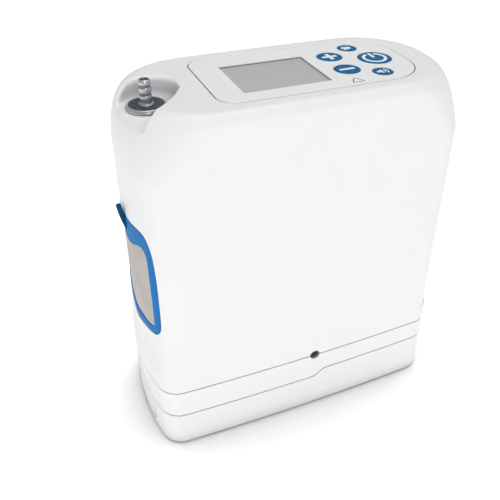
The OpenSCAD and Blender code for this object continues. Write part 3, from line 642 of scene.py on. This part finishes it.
def plan_of(node):
    """Centre of a CAD node in plan, and its size along X."""
    low, high = box_mm(node)
    return (low + high)[:2] / 2, (high - low)[0]


KEYS = {name: plan_of("button_" + name) for name in ("plus", "minus", "alert", "sound", "power")}
# growth of each key's radius over the CAD key, and the gap round it
KEY_SWELL = 0.45
KEY_GAP = 0.12
# the screen, how far the panel covers its edge, and the panel's top and thickness
SCREEN_LOW, SCREEN_HIGH = box_mm("screen_window")
LENS_LIP = 1.0
PANEL_TOP = PANEL_HIGH[2]
PANEL_T = 0.6
# heights where cutters start: under the key and screen holes, under the panel, under the pocket floor
UNDER_KEYS, UNDER_PANEL, UNDER_POCKET = 196, 200, 180
# radius of the nozzle's hole in the pocket floor
SPIGOT_R = 6.2

# guide points (y, z) of the filter's outline and its window, +Y half, from the bottom up
SHIELD = [(3.5, 74.6), (9, 76.6), (15, 78.3), (21, 79.8), (26.5, 81.4), (31, 83.4), (33.9, 86.8), (34.6, 91),
          (34.7, 100), (34.7, 110), (34.6, 120), (34.3, 128), (33.7, 135.5), (32.4, 141), (29.8, 144.6),
          (25.5, 145.1), (19, 144.2), (12, 142.9), (5, 142.2)]
WINDOW = [(2.5, 80.6), (8, 82.2), (14, 83.2), (20, 84.0), (25, 85.0), (28.3, 87), (29.2, 90.5), (29.1, 100),
          (28.9, 112), (28.7, 122), (28.5, 129), (27.7, 133.2), (25, 134.9), (20.5, 134.0), (15, 131.2),
          (9, 127.8), (3.5, 126)]


def mirrored(half, grow):
    """Smooth outline from the +Y half of its guide points, pushed out by grow along its normals."""
    half = np.array(half, float)
    p = np.concatenate([half, (half * (-1, 1))[::-1]])
    for _ in range(3):
        q = np.roll(p, -1, axis=0)
        p = np.stack([p * 0.75 + q * 0.25, p * 0.25 + q * 0.75], axis=1).reshape(-1, 2)
    run = np.roll(p, -1, axis=0) - np.roll(p, 1, axis=0)
    run /= np.linalg.norm(run, axis=1)[:, None]
    return p + grow * np.column_stack([run[:, 1], -run[:, 0]])


def shield(grow):
    """Outline of the filter in the end view: soft shoulders, long sides and a shallow point at the bottom."""
    return mirrored(SHIELD, grow)


def window(grow):
    """Window of the filter frame, with a dip in the middle of its top edge."""
    return mirrored(WINDOW, grow)


def straight_case(name, a, inset, z0, z1):
    """Slice of the straight-sided case with square rims, inset from its skin."""
    return case_slab(name, a, z0, z1, SQUARE, SQUARE, inset=inset)


def housing_cavity():
    """Inside of the housing, with the filter's seat and the pocket left solid."""
    space = straight_case("cavity", UPPER_L, WALL, HOUSING_Z - 1, TOP - 41)
    steps = ((4.2, TOP - 41.5, TOP - 21), (7.0, TOP - 21.5, TOP - 9), (10.5, TOP - 9.5, TOP - 3.2))
    for inset, z0, z1 in steps:
        combine(space, straight_case("cavity_top", UPPER_L - 0.5, inset, z0, z1), "UNION")
    seat = endwise("seat", shield, [(2.2, BEYOND), (2.2, INSIDE)])
    combine(seat, straight_case("seat_inner", UPPER_L, 6.5, *SEAT_SPAN))
    combine(space, seat)
    post = upright("post", disc(PLUG_X, 0, PLUG_R), [(0, POCKET_Z - 4), (0, TOP + 10)])
    return combine(space, post)


def port_cutter():
    """Port hole through the front face, flared at its mouth, with room behind for the sleeve."""
    y0 = -HALF_W
    levels = [(1.6, y0 - 1), (0.22, y0 - 0.02), (0.06, y0 + 0.12), (0.0, y0 + 0.4), (0.0, y0 + 1.4)]
    levels += [(1.05, y0 + 1.41), (1.05, y0 + 11)]
    rings = [raised(arc(PORT_X, PORT_Z, PORT_R + grow, 360 - 360 / 48, 0, 47), y, 1) for grow, y in levels]
    return mesh_object("port_cutter", *stack(rings))


def build_housing():
    """Housing shell: its outer skin, hollowed, with its recesses and holes."""
    lines = (
        grid_lines((-92.6, -54, 0.45), (-54, 62, 2.9), (62, 92.6, 0.9)),
        grid_lines((-42.3, -28, 0.8), (-28, 23.6, 0.45), (23.6, 42.3, 0.8)),
        grid_lines((HOUSING_Z - 0.6, HOUSING_Z + 0.9, 0.15), (HOUSING_Z + 0.9, 50.5, 1.4), (50.5, 56.5, 0.4),
                   (56.5, 70, 1.5), (70, 166, 4.8), (166, 191, 1.25), (191, TOP + 0.6, 0.45)),
    )
    shell = mesh_object("housing_shell", *surface_net(housing_field, lines))
    combine(shell, housing_cavity())
    floor_z = TOP - PANEL_T
    flare = [(0.45, floor_z), (0.45, TOP - 0.4), (0.52, TOP - 0.2), (0.72, TOP - 0.05), (1.0, TOP)]
    flare.append((1.05, TOP + 1))
    combine(shell, upright("panel_recess", keypad_outline, flare))
    groove = upright("panel_groove", keypad_outline, [(0.45, floor_z - 1.1), (0.45, floor_z + 0.1)])
    combine(groove, upright("groove_core", keypad_outline, [(-0.35, UNDER_PANEL), (-0.35, TOP)]))
    combine(shell, groove)
    x0, y0, x1, y1 = *(SCREEN_LOW[:2] - 0.2), *(SCREEN_HIGH[:2] + 0.2)
    combine(shell, upright("screen_hole", round_rect(x0, x1, y0, y1, 0.6), [(0, UNDER_KEYS), (0, ABOVE)]))
    for (x, y), size in KEYS.values():
        hole = disc(x, y, size / 2 + KEY_SWELL + KEY_GAP)
        combine(shell, upright("key_hole", hole, [(0, UNDER_KEYS), (0, ABOVE)]))
    mouth = [(0.9, -0.5), (0.62, 0.0), (0.45, 0.12), (0.37, 0.3), (0.35, 0.6)]
    recess = end_cut("filter_recess", shield, -1, UPPER_L, mouth, 25)
    combine(recess, straight_case("recess_floor", UPPER_L, SEAT_DEPTH, *SEAT_SPAN))
    combine(shell, recess)
    combine(shell, endwise("filter_opening", window, [(1.5, BEYOND), (1.5, INSIDE)]))
    mouth = [(1.2, -1.0), (0.5, -0.02), (0.2, 0.14), (0.05, 0.32), (0.0, 0.6)]
    combine(shell, end_cut("vent_hole", round_rect(*VENT_HOLE), 1, UPPER_L, mouth, 12))
    combine(shell, end_cut("inlet_hole", round_rect(*INLET_HOLE), 1, UPPER_L, mouth, 12))
    combine(shell, upright("spigot_hole", disc(NOZZLE_X, 0, SPIGOT_R), [(0, UNDER_POCKET), (0, ABOVE)]))
    combine(shell, port_cutter())
    piece(soften(shell), "unit", "case_white", "case_white", "main_housing")


build_housing()


# ---- base and battery
def jog_z(x):
    """Height of the battery joint line: a smooth S from its low run to its high run."""
    (x0, z0), (x1, z1) = JOG_LOW, JOG_HIGH
    return z0 + (z1 - z0) * smooth_step(x, x0, x1)


def jog_slack(x):
    """Extra room along the S, which keeps both lips clear of each other."""
    x0, x1 = JOG_LOW[0], JOG_HIGH[0]
    rise, fall = smooth_step(x, x0 - 1.7, x0 + 0.8), smooth_step(x, x1 - 0.8, x1 + 1.7)
    return 0.02 + 0.1 * rise * (1 - fall)


# points nearer than this, in metres, are one point
SAME_POINT = 1e-6


def node_copy(name, node):
    """A closed copy of a CAD node's mesh."""
    source = nodes[node]
    mesh = source.data.copy()
    mesh.transform(source.matrix_world)
    rework(mesh, lambda work: bmesh.ops.remove_doubles(work, verts=work.verts, dist=SAME_POINT))
    mesh.materials.clear()
    return placed(name, mesh)


SCOOP_R, SCOOP_Z = 20.5, 12.2
# (growth, depth) levels that round the scoop's edge
SCOOP_MOUTH = [(1.4, -1.2), (0.55, -0.02), (0.22, 0.12), (0.05, 0.36), (0.0, 0.7)]


def scoop(grow):
    """Finger scoop at the latch end: a circle with a flat bottom."""
    r, cz, flat = SCOOP_R + grow, SCOOP_Z, SCOOP_Z - 7 - grow
    dip = math.degrees(math.asin((cz - flat) / r))
    return arc(0, cz, r, -dip, 180 + dip, 60)


def build_base():
    """Base of the case, above the battery, with the scoop cut in its latch end."""
    shell = node_copy("base_shell", "base_cover")

    def lower_edge(x):
        return jog_z(x) + SEAM_GAP + jog_slack(x)

    keep = case_slab("base_body", HALF_L, lower_edge, BASE_TOP - 0.02, 0.3, 0.3)
    combine(keep, straight_case("base_inside", UPPER_L, WALL + 0.1, 30, 60), "UNION")
    combine(shell, keep, "INTERSECT")
    combine(shell, end_cut("base_scoop", scoop, -1, HALF_L, SCOOP_MOUTH, 3.75))
    combine(shell, port_cutter())
    piece(soften(shell), "unit", "case_white", "case_white", "base_cover")


def build_battery():
    """Battery case, with its share of the scoop."""
    shell = node_copy("battery_shell", "battery_case")
    keep = case_slab("battery_body", HALF_L, FOOT_H + 0.02, lambda x: jog_z(x) - jog_slack(x), 2.5, 0.4)
    combine(shell, keep, "INTERSECT")
    combine(shell, end_cut("battery_scoop", scoop, -1, HALF_L, SCOOP_MOUTH, 8.4))
    piece(soften(shell), "battery", "battery_white", "case_white", "battery_case")


build_base()
build_battery()


# ---- keypad panel and keys
def build_panel():
    """Keypad panel, with its screen hole and key holes."""
    low = PANEL_TOP - PANEL_T + 0.03
    edge = [(-0.05, low), (0, low + 0.08), (0, PANEL_TOP - 0.26), (-0.04, PANEL_TOP - 0.12)]
    edge += [(-0.13, PANEL_TOP - 0.03), (-0.27, PANEL_TOP)]
    sheet = upright("keypad_panel", keypad_outline, edge)
    x0, y0, x1, y1 = (*(SCREEN_LOW[:2] + LENS_LIP), *(SCREEN_HIGH[:2] - LENS_LIP))
    hole = [(0, UNDER_PANEL), (0, PANEL_TOP - 0.2), (0.06, PANEL_TOP - 0.07), (0.2, PANEL_TOP)]
    hole.append((0.25, PANEL_TOP + 1))
    combine(sheet, upright("panel_screen", round_rect(x0, x1, y0, y1, 0.7), hole))
    for (x, y), size in KEYS.values():
        combine(sheet, upright("panel_key", disc(x, y, size / 2 + KEY_SWELL + KEY_GAP - 0.02), hole))
    piece(soften(sheet), "unit", "keypad_grey", "keypad_grey", "display_overlay")


def lathe(name, profile, cx, cy, n=72):
    """Closed solid turned from (radius, z) points, from the bottom to the top."""
    rings = [raised(disc(cx, cy, max(r, 0.02), n)(0), z) for r, z in profile]
    return mesh_object(name, *stack(rings))


def corner(r0, z0, radius, quarter, n=5):
    """Round corner of a lathe profile at (r0, z0): up and in, or up and out."""
    t = np.radians(np.linspace(0, 90, n + 1))
    if quarter == "top":
        return [(r0 - radius * (1 - math.cos(a)), z0 - radius * (1 - math.sin(a))) for a in t]
    return [(r0 - radius * (1 - math.sin(a)), z0 + radius * (1 - math.cos(a))) for a in t]


# heights of a key's cap, and the radius of the stem under it
CAP_LOW, CAP_TOP = 203.6, TOP + 0.02
STEM_R = 2.2


def build_key(name):
    """Round key: a cap with soft edges on a stem."""
    node = "button_" + name
    (x, y), size = KEYS[name]
    foot = box_mm(node)[0][2]
    r = size / 2 + KEY_SWELL
    profile = [(STEM_R, foot), (STEM_R, CAP_LOW)]
    profile += corner(r, CAP_LOW, 0.2, "bottom", 3)
    profile += corner(r, CAP_TOP - 0.04, 0.5, "top", 7)
    profile += [(r * 0.7, CAP_TOP - 0.02), (r * 0.4, CAP_TOP), (0.0, CAP_TOP)]
    cap = soften(lathe("key_" + name, profile, x, y), 50)
    piece(cap, "key_" + name, "key_blue", "key_blue", node)


def stroke(points, half, n=8):
    """Outline of a line of even width with round ends."""
    p = np.asarray(points, float)
    d = np.gradient(p, axis=0)
    d /= np.linalg.norm(d, axis=1)[:, None]
    side = np.column_stack([-d[:, 1], d[:, 0]]) * half
    end_a = math.degrees(math.atan2(d[-1, 1], d[-1, 0]))
    start_a = math.degrees(math.atan2(-d[0, 1], -d[0, 0]))
    cap_end = arc(p[-1, 0], p[-1, 1], half, end_a - 90, end_a + 90, n)
    cap_start = arc(p[0, 0], p[0, 1], half, start_a - 90, start_a + 90, n)
    return np.concatenate([p - side, cap_end[1:-1], (p + side)[::-1], cap_start[1:-1]])


# heights of the raised marks on the keys, and half sizes of the plus and minus bars
MARK_LOW, MARK_TOP = TOP - 0.1, TOP + 0.085
BAR_LONG, BAR_WIDE = 4.25, 1.05


def plate(name, outline, low=MARK_LOW, high=MARK_TOP):
    """Thin flat plate from an outline."""
    return mesh_object(name, *stack([raised(outline, z) for z in (low, high)]))


def joined(name, parts):
    """Union of plates."""
    first = parts[0]
    for other in parts[1:]:
        combine(first, other, "UNION")
    first.name = name
    return first


def icon(key, parts):
    """Raised mark of a key, from its plates."""
    piece(soften(joined("mark_" + key, parts)), "key_" + key, "key_blue", "mark_white")


def build_icons():
    """Marks of the keys: plus, minus, power, bell and loudspeaker."""
    for key in ("plus", "minus"):
        (x, y), _ = KEYS[key]
        bars = [(BAR_LONG, BAR_WIDE), (BAR_WIDE, BAR_LONG)][:2 if key == "plus" else 1]
        parts = [plate("bar", round_rect(x - a, x + a, y - b, y + b, 0.2)(0)) for a, b in bars]
        icon(key, parts)
    (x, y), _ = KEYS["power"]
    ring = plate("ring", stroke(arc(x, y, 5.85, 118, 422, 60), 0.85))
    icon("power", [ring, plate("bar", round_rect(x - 0.85, x + 0.85, y + 0.6, y + 6.9, 0.3)(0))])
    (x, y), _ = KEYS["alert"]
    dome = np.concatenate([arc(x + 0.5, y, 1.75, -90, 90, 16), [(x - 1.3, y + 1.95), (x - 2.0, y + 2.7),
                          (x - 2.5, y + 2.7), (x - 2.5, y - 2.7), (x - 2.0, y - 2.7), (x - 1.3, y - 1.95)]])
    icon("alert", [plate("dome", dome), plate("clapper", arc(x - 2.75, y, 0.8, 90, 270, 12))])
    (x, y), _ = KEYS["sound"]
    cone = [(x - 3.3, y - 0.85), (x - 2.0, y - 0.85), (x - 0.2, y - 2.5), (x - 0.2, y + 2.5),
            (x - 2.0, y + 0.85), (x - 3.3, y + 0.85)]
    near = plate("wave", stroke(arc(x - 0.9, y, 2.2, -38, 38, 12), 0.34))
    wide = plate("wave", stroke(arc(x - 0.9, y, 3.7, -40, 40, 14), 0.34))
    icon("sound", [plate("cone", np.array(cone)), near, wide])


def build_triangle():
    """Plain rounded triangle printed on the panel."""
    cx, cy = 26.0, -24.6
    corners = [(cx, cy + 2.1), (cx - 2.45, cy - 1.9), (cx + 2.45, cy - 1.9)]

    def outline(grow):
        r = 0.75 + grow
        turns = zip(corners, (30, 150, 270))
        return np.concatenate([arc(x, y, r, start, start + 120, 6) for (x, y), start in turns])

    ring = plate("triangle_mark", outline(0), TOP - 0.05, TOP + 0.03)
    combine(ring, plate("triangle_inner", outline(-0.5), TOP - 1, TOP + 1))
    piece(soften(ring), "unit", "keypad_grey", "key_blue")


build_panel()
for key_name in KEYS:
    build_key(key_name)
build_icons()
build_triangle()


# ---- nozzle
def eased(profile, rounds=2):
    """Profile with its corners cut round."""
    p = np.asarray(profile, float)
    for _ in range(rounds):
        a, b = p[:-1], p[1:]
        cut = np.stack([a * 0.75 + b * 0.25, a * 0.25 + b * 0.75], axis=1).reshape(-1, 2)
        p = np.concatenate([p[:1], cut, p[-1:]])
    return p


def build_nozzle():
    """Hose nozzle with its flange and barbs, and the dimpled ring that trims it."""
    tip = NOZZLE_HIGH[2]
    flange, top = COLLAR_TOP + 0.1, COLLAR_TOP + 2.1
    barb, neck = 3.15, 2.1
    profile = [(5.9, NOZZLE_LOW[2]), (6.0, NOZZLE_LOW[2] + 0.1), (6.0, flange), (9.6, flange)]
    profile += [(9.85, flange + 0.2), (9.88, flange + 0.6), (9.7, flange + 1.1), (9.2, top - 0.2)]
    profile += [(8.8, top), (8.6, top), (8.45, top - 0.1), (8.4, top - 0.25), (8.4, top - 0.9)]
    profile += [(3.7, top - 0.9), (3.7, top - 0.35)]
    base = [(3.7, top - 0.3), (3.65, top + 0.15), (3.4, top + 0.4), (3.0, top + 0.5), (2.8, top + 0.8)]
    base += [(2.8, tip - 10.9)]
    ribs = [(2.8, tip - 10.9), (2.85, tip - 10.3), (3.1, tip - 9.4), (barb, tip - 8.6)]
    ribs += [(barb - 0.05, tip - 8.0), (barb - 0.35, tip - 7.6), (neck, tip - 7.38), (neck, tip - 7.28)]
    ribs += [(barb - 0.2, tip - 6.6), (barb, tip - 5.8), (barb, tip - 4.6), (barb - 0.2, tip - 3.9)]
    ribs += [(neck, tip - 3.4), (neck, tip - 3.3), (barb - 0.2, tip - 2.7), (barb, tip - 2.1)]
    ribs += [(barb - 0.02, tip - 1.4), (barb - 0.25, tip - 0.6), (neck + 0.1, tip - 0.1), (neck - 0.05, tip)]
    profile += eased(base, 2).tolist() + eased(ribs, 1).tolist()[1:]
    body = lathe("nozzle_body", profile, NOZZLE_X, 0, 96)
    bore = [(4.8, UNDER_POCKET), (4.8, 192), (1.7, 192), (1.7, tip - 1.6), (2.15, tip - 0.35), (2.25, tip)]
    bore.append((2.25, tip + 3))
    combine(body, lathe("nozzle_bore", bore, NOZZLE_X, 0, 64))
    piece(soften(body, 40), "unit", "nozzle_grey", "nozzle_grey", "nozzle_fitting")

    low = box_mm("nozzle_ring")[0][2] + 0.01
    high = low + 0.7
    ring = lathe("nozzle_ring_trim", [(8.25, low), (8.32, low + 0.1), (8.32, high - 0.2), (8.25, high - 0.06),
                                      (8.1, high)], NOZZLE_X, 0, 96)
    bore = [(3.78, 190), (3.78, high - 0.15), (3.9, high), (3.9, 200)]
    combine(ring, lathe("ring_bore", bore, NOZZLE_X, 0, 64))
    dent = [(0.6, high - 0.3), (0.72, high - 0.1), (0.85, high), (0.9, high + 1)]
    for k in range(8):
        turn = math.radians(20 + 45 * k)
        cx, cy = NOZZLE_X + 6.1 * math.cos(turn), 6.1 * math.sin(turn)
        combine(ring, lathe("dimple", dent, cx, cy, 20))
    piece(soften(ring, 40), "unit", "dark_ring", "ring_dark", "nozzle_ring")


# ---- intake filter
# net of the filter: pitch of its strands, their radius, depth under the skin, weave and count of sides
MESH_PITCH = 0.8
STRAND_R = 0.21
STRAND_DEPTH = 1.0
STRAND_WAVE = 0.09
STRAND_SIDES = 5


def end_shell(name, outer, inner, low, high):
    """Layer of the upper case between two depths under the skin."""
    body = straight_case(name, UPPER_L, outer, low, high)
    return combine(body, straight_case("layer", UPPER_L, inner, low - 1, high + 1))


def prism(name, outline, levels):
    """Solid through the -X skin: (growth, depth) levels from the outside inward, ended 20 mm inside."""
    return end_cut(name, outline, -1, UPPER_L, levels, 20)


def build_filter_frame():
    """Blue bezel of the filter, with rounded rims outside and round its window."""
    frame_body = end_shell("filter_bezel", 0.1, FILTER_T, LAYER_LOW, LAYER_HIGH)
    rim = [(-1.3, -1.2), (-0.75, 0.07), (-0.4, 0.15), (-0.16, 0.3), (-0.03, 0.5), (0.0, 0.8)]
    combine(frame_body, prism("bezel_rim", shield, rim), "INTERSECT")
    mouth = [(2.0, -1.2), (1.0, 0.07), (0.6, 0.15), (0.28, 0.32), (0.08, 0.6), (0.0, 1.0)]
    combine(frame_body, prism("bezel_window", window, mouth))
    piece(soften(frame_body), "intake_filter", "filter_blue", "filter_blue", "filter_frame")


def build_filter_tab():
    """Pull tab: a curved tongue that leans out from the top of the bezel."""
    back = [(1.15, 134.2), (0.7, 137.2), (0.3, 139.8), (-0.35, 142.6), (-0.95, 144.9), (-1.2, 147.2)]
    front = [(-3.45, 146.7), (-3.4, 144.9), (-2.95, 142.4), (-2.3, 139.6), (-1.6, 136.8), (-0.5, 133.6)]
    side = eased(back, 2).tolist() + eased(front, 2).tolist()
    side = np.array(side) + (-UPPER_L, 0)
    rings = []
    # full thickness in the middle, thinner towards both long edges
    half = len(side) // 2
    core = (side[:half] + side[half:][::-1]) / 2
    core = np.concatenate([core, core[::-1]])
    for y, share in ((-1.9, 0.8), (-1.82, 0.93), (-1.6, 1.0), (1.6, 1.0), (1.82, 0.93), (1.9, 0.8)):
        rings.append(raised(core + (side - core) * share, y, 1))
    tab = mesh_object("filter_pull_tab", *stack(rings))
    rework(tab.data, lambda work: bmesh.ops.recalc_face_normals(work, faces=work.faces))
    piece(soften(tab, 40), "intake_filter", "filter_blue", "tab_teal")


def runs_inside(outline, axis, value):
    """Spans of a line across a closed outline, along the other axis."""
    a, b = outline, np.roll(outline, -1, axis=0)
    hit = (a[:, axis] < value) != (b[:, axis] < value)
    a, b = a[hit], b[hit]
    t = (value - a[:, axis]) / (b[:, axis] - a[:, axis])
    other = 1 - axis
    at = np.sort(a[:, other] + t * (b[:, other] - a[:, other]))
    return at.reshape(-1, 2)


def build_filter_mesh():
    """Woven net, whose strands pass over and under each other along the bowed side, and the pad behind it."""
    edge = window(0.3)
    turns = np.radians(np.arange(0, 360, 360 / STRAND_SIDES))
    points, faces = [], []
    total = 0
    for axis in (0, 1):
        low, high = edge[:, axis].min(), edge[:, axis].max()
        for k in range(int(low / MESH_PITCH) + 1, int(high / MESH_PITCH)):
            value = (k + 0.5) * MESH_PITCH
            for start, stop in runs_inside(edge, axis, value):
                n = max(2, round((stop - start) / (MESH_PITCH / 3)))
                t = np.linspace(start, stop, n + 1)
                wave = np.cos(math.pi * (t / MESH_PITCH - 0.5)) * (-1) ** (k + axis)
                y = np.full(n + 1, value) if axis == 0 else t
                z = t if axis == 0 else np.full(n + 1, value)
                x = -(end_skin_x(y, UPPER_L) - STRAND_DEPTH - STRAND_WAVE * wave)
                path = np.column_stack([x, y, z])
                across = (0, 1, 0) if axis == 0 else (0, 0, 1)
                ring = [np.array((math.cos(a), 0, 0)) + np.multiply(across, math.sin(a)) for a in turns]
                rings = path[:, None] + np.array(ring)[None] * STRAND_R
                points.append(rings.reshape(-1, 3))
                m = STRAND_SIDES
                for i in range(n):
                    for j in range(m):
                        q = total + i * m
                        face = (q + j, q + (j + 1) % m, q + m + (j + 1) % m, q + m + j)
                        faces.append(face if axis == 0 else face[::-1])
                total += (n + 1) * m
    net = mesh_object("filter_net", np.concatenate(points), faces)
    net.data.polygons.foreach_set("use_smooth", np.ones(len(net.data.polygons), bool))
    piece(net, "intake_filter", "mesh_beige", "mesh_beige", "filter_mesh")
    pad = end_shell("filter_pad", 1.25, 1.85, LAYER_LOW, LAYER_HIGH)
    combine(pad, prism("pad_edge", window, [(-0.04, -1), (-0.04, 1)]), "INTERSECT")
    piece(soften(pad), "intake_filter", "mesh_beige", "foam_beige")


# ---- exhaust grille
def build_grille():
    """Exhaust grille: a bowed plate with a row of round-ended slots."""
    body = end_shell("exhaust_vent", 0.3, 2.2, 80, 160)
    rim = [(-0.8, -0.5), (-0.3, 0.3), (-0.1, 0.42), (0.0, 0.7)]
    combine(body, end_cut("grille_edge", round_rect(*GRILLE_EDGE), 1, UPPER_L, rim, 14), "INTERSECT")
    mouth = [(0.9, -0.4), (0.4, 0.3), (0.15, 0.45), (0.0, 0.8)]
    for z in range(97, 144, 6):
        slot = round_rect(-18, 18, z - 1.5, z + 1.5, 1.45, 6)
        combine(body, end_cut("slot", slot, 1, UPPER_L, mouth, 14))
    piece(soften(body), "unit", "vent_white", "vent_white", "exhaust_grille")


build_nozzle()
build_filter_frame()
build_filter_tab()
build_filter_mesh()
build_grille()


# ---- finishes of the CAD pieces
# slots of the CAD pieces whose material has another name
FINISH = {
    "battery_white": "case_white", "display_grey": "display_lens", "display_module": "display_grey",
    "mesh_beige": "foam_beige", "dark_ring": "ring_dark", "seal_rubber": "rubber_black",
    "filter_felt": "felt_white", "board_green": "circuit_board", "screw_steel": "screw_zinc",
    "tube_clear": "tube_silicone", "bed_grains": "sieve_beads",
}
# bevel of a CAD piece's edges in mm, where it isn't the usual one
USUAL_EDGE = 0.25
EDGE_WIDTH = {"hoses": 0.0, "key_switches": 0.12, "base_contacts": 0.15, "battery_contacts": 0.15,
              "housing_screws": 0.12, "screen_window": 0.15, "board_parts": 0.15, "dc_inlet": 0.3}


# angles in degrees past which an edge of a CAD piece stays sharp, and past which it gets its bevel
SHARP, BEVELLED = 32, 35


def smooth_group():
    """Geometry nodes that shade smooth, with sharp edges past an angle."""
    group = bpy.data.node_groups.new("smooth_by_angle", "GeometryNodeTree")
    group.interface.new_socket("Geometry", in_out="INPUT", socket_type="NodeSocketGeometry")
    group.interface.new_socket("Geometry", in_out="OUTPUT", socket_type="NodeSocketGeometry")
    add, _ = node_tools(group)
    faces = add("GeometryNodeSetShadeSmooth", {"Geometry": add("NodeGroupInput").outputs[0]}, domain="FACE")
    angle = add("GeometryNodeInputMeshEdgeAngle").outputs["Unsigned Angle"]
    limit = add("FunctionNodeCompare", {"A": angle, "B": math.radians(SHARP)}, operation="LESS_THAN")
    edges = {"Geometry": faces.outputs[0], "Shade Smooth": limit.outputs[0]}
    smooth = add("GeometryNodeSetShadeSmooth", edges, domain="EDGE")
    add("NodeGroupOutput", {"Geometry": smooth.outputs[0]})
    return group


def finish_cad_pieces():
    """Gives each CAD piece its finish, small bevels and smooth shading."""
    group = smooth_group()
    for part in frame["record"]["subparts"]:
        name, slot = part["node"], part["material_slot"]
        ob = nodes[name]
        ob.data.materials.clear()
        ob.data.materials.append(MATERIALS[FINISH.get(slot, slot)])
        width = EDGE_WIDTH.get(name, USUAL_EDGE)
        weld = ob.modifiers.new("weld", "WELD")
        weld.merge_threshold = SAME_POINT
        if width:
            edge = ob.modifiers.new("edge", "BEVEL")
            edge.width = width * MM
            edge.segments = 2
            edge.limit_method = "ANGLE"
            edge.angle_limit = math.radians(BEVELLED)
            edge.use_clamp_overlap = True
        smooth = ob.modifiers.new("smooth", "NODES")
        smooth.node_group = group
        even = ob.modifiers.new("even", "WEIGHTED_NORMAL")
        even.keep_sharp = True


finish_cad_pieces()


# ---- studio
def area_light(name, place, aim, size, power):
    """Rectangular lamp at a place, turned to its aim."""
    data = bpy.data.lights.new(name, "AREA")
    data.shape = "RECTANGLE"
    data.size, data.size_y = size
    data.energy = power
    ob = placed(name, data)
    ob.location = place
    ob.rotation_euler = (Vector(aim) - Vector(place)).to_track_quat("-Z", "Y").to_euler()


# strength of the sky at the horizon and overhead, and glow and half width of the floor; the glow fades into a
# painted shadow round the feet
SKY_LOW, SKY_HIGH = 0.38, 0.36
FLOOR_GLOW = 0.52
FLOOR_HALF = 3.0
# (name, place, aim, size, power) of each lamp
LAMPS = (
    ("key_softbox", (-0.1, -1.4, 0.95), (0, 0, 0.1), (0.6, 0.6), 5.2),
    ("top_softbox", (0.15, 0.1, 1.5), (0, 0, 0.1), (1.0, 1.0), 9.3),
    ("left_strip", (-1.1, -0.2, 0.09), (0, 0, 0.09), (1.6, 0.17), 1.75),
    ("front_strip", (-0.3, -1.4, 0.09), (0, 0, 0.09), (1.8, 0.17), 1.0),
)


def build_studio():
    """White glowing floor with a painted contact shadow round the feet, an even sky and four lamps."""
    scene = bpy.context.scene
    side = FLOOR_HALF
    mesh = bpy.data.meshes.new("floor")
    corners = [(-side, -side, 0), (side, -side, 0), (side, side, 0), (-side, side, 0)]
    mesh.from_pydata(corners, [], [(0, 1, 2, 3)])
    floor = placed("floor", mesh)
    add, finish = node_material("floor_white")
    # painted shadow: ambient occlusion fades the floor's glow where the case is near
    near = add("ShaderNodeAmbientOcclusion", {"Distance": 0.09}, samples=8)
    finish({
        "Base Color": (0.9, 0.9, 0.9, 1), "Roughness": 0.9, "Specular IOR Level": 0.1,
        "Emission Color": (1, 1, 1, 1),
        "Emission Strength": ramp(add, near.outputs["AO"], 0.0, FLOOR_GLOW, 0.42, 0.88),
    })
    mesh.materials.append(MATERIALS["floor_white"])
    world = bpy.data.worlds.new("studio")
    world.use_nodes = True
    add, fill = node_tools(world.node_tree)
    split = add("ShaderNodeSeparateXYZ", {"Vector": add("ShaderNodeTexCoord").outputs["Generated"]})
    fade = ramp(add, split.outputs["Z"], SKY_LOW, SKY_HIGH, 0.0, 1.0)
    fill(world.node_tree.nodes["Background"], {"Color": (1, 1, 1, 1), "Strength": fade})
    scene.world = world
    for lamp in LAMPS:
        area_light(*lamp)
    scene.view_settings.view_transform = "Standard"


# focal length in mm, picture shift, place in metres, and the directions ahead and up
FOCAL = 45.86
SHIFT = (-0.0460, -0.0643)
CAMERA_PLACE = (-0.13094, -0.2792, 0.32029)
AHEAD, UP = Vector((0.3402, 0.7619, -0.5512)), Vector((0.2059, 0.5116, 0.8342))


def build_camera():
    """Camera that sees the part as in the photo."""
    scene = bpy.context.scene
    data = bpy.data.cameras.new("camera")
    data.lens = FOCAL
    data.sensor_width = 36.0
    data.shift_x, data.shift_y = SHIFT
    data.clip_start = 0.01
    camera = placed("camera", data)
    ahead = AHEAD.normalized()
    right = ahead.cross(UP.normalized()).normalized()
    up = right.cross(ahead)
    turn = Matrix((right, up, -ahead)).transposed()
    camera.matrix_world = Matrix.Translation(CAMERA_PLACE) @ turn.to_4x4()
    scene.camera = camera


build_studio()
build_camera()
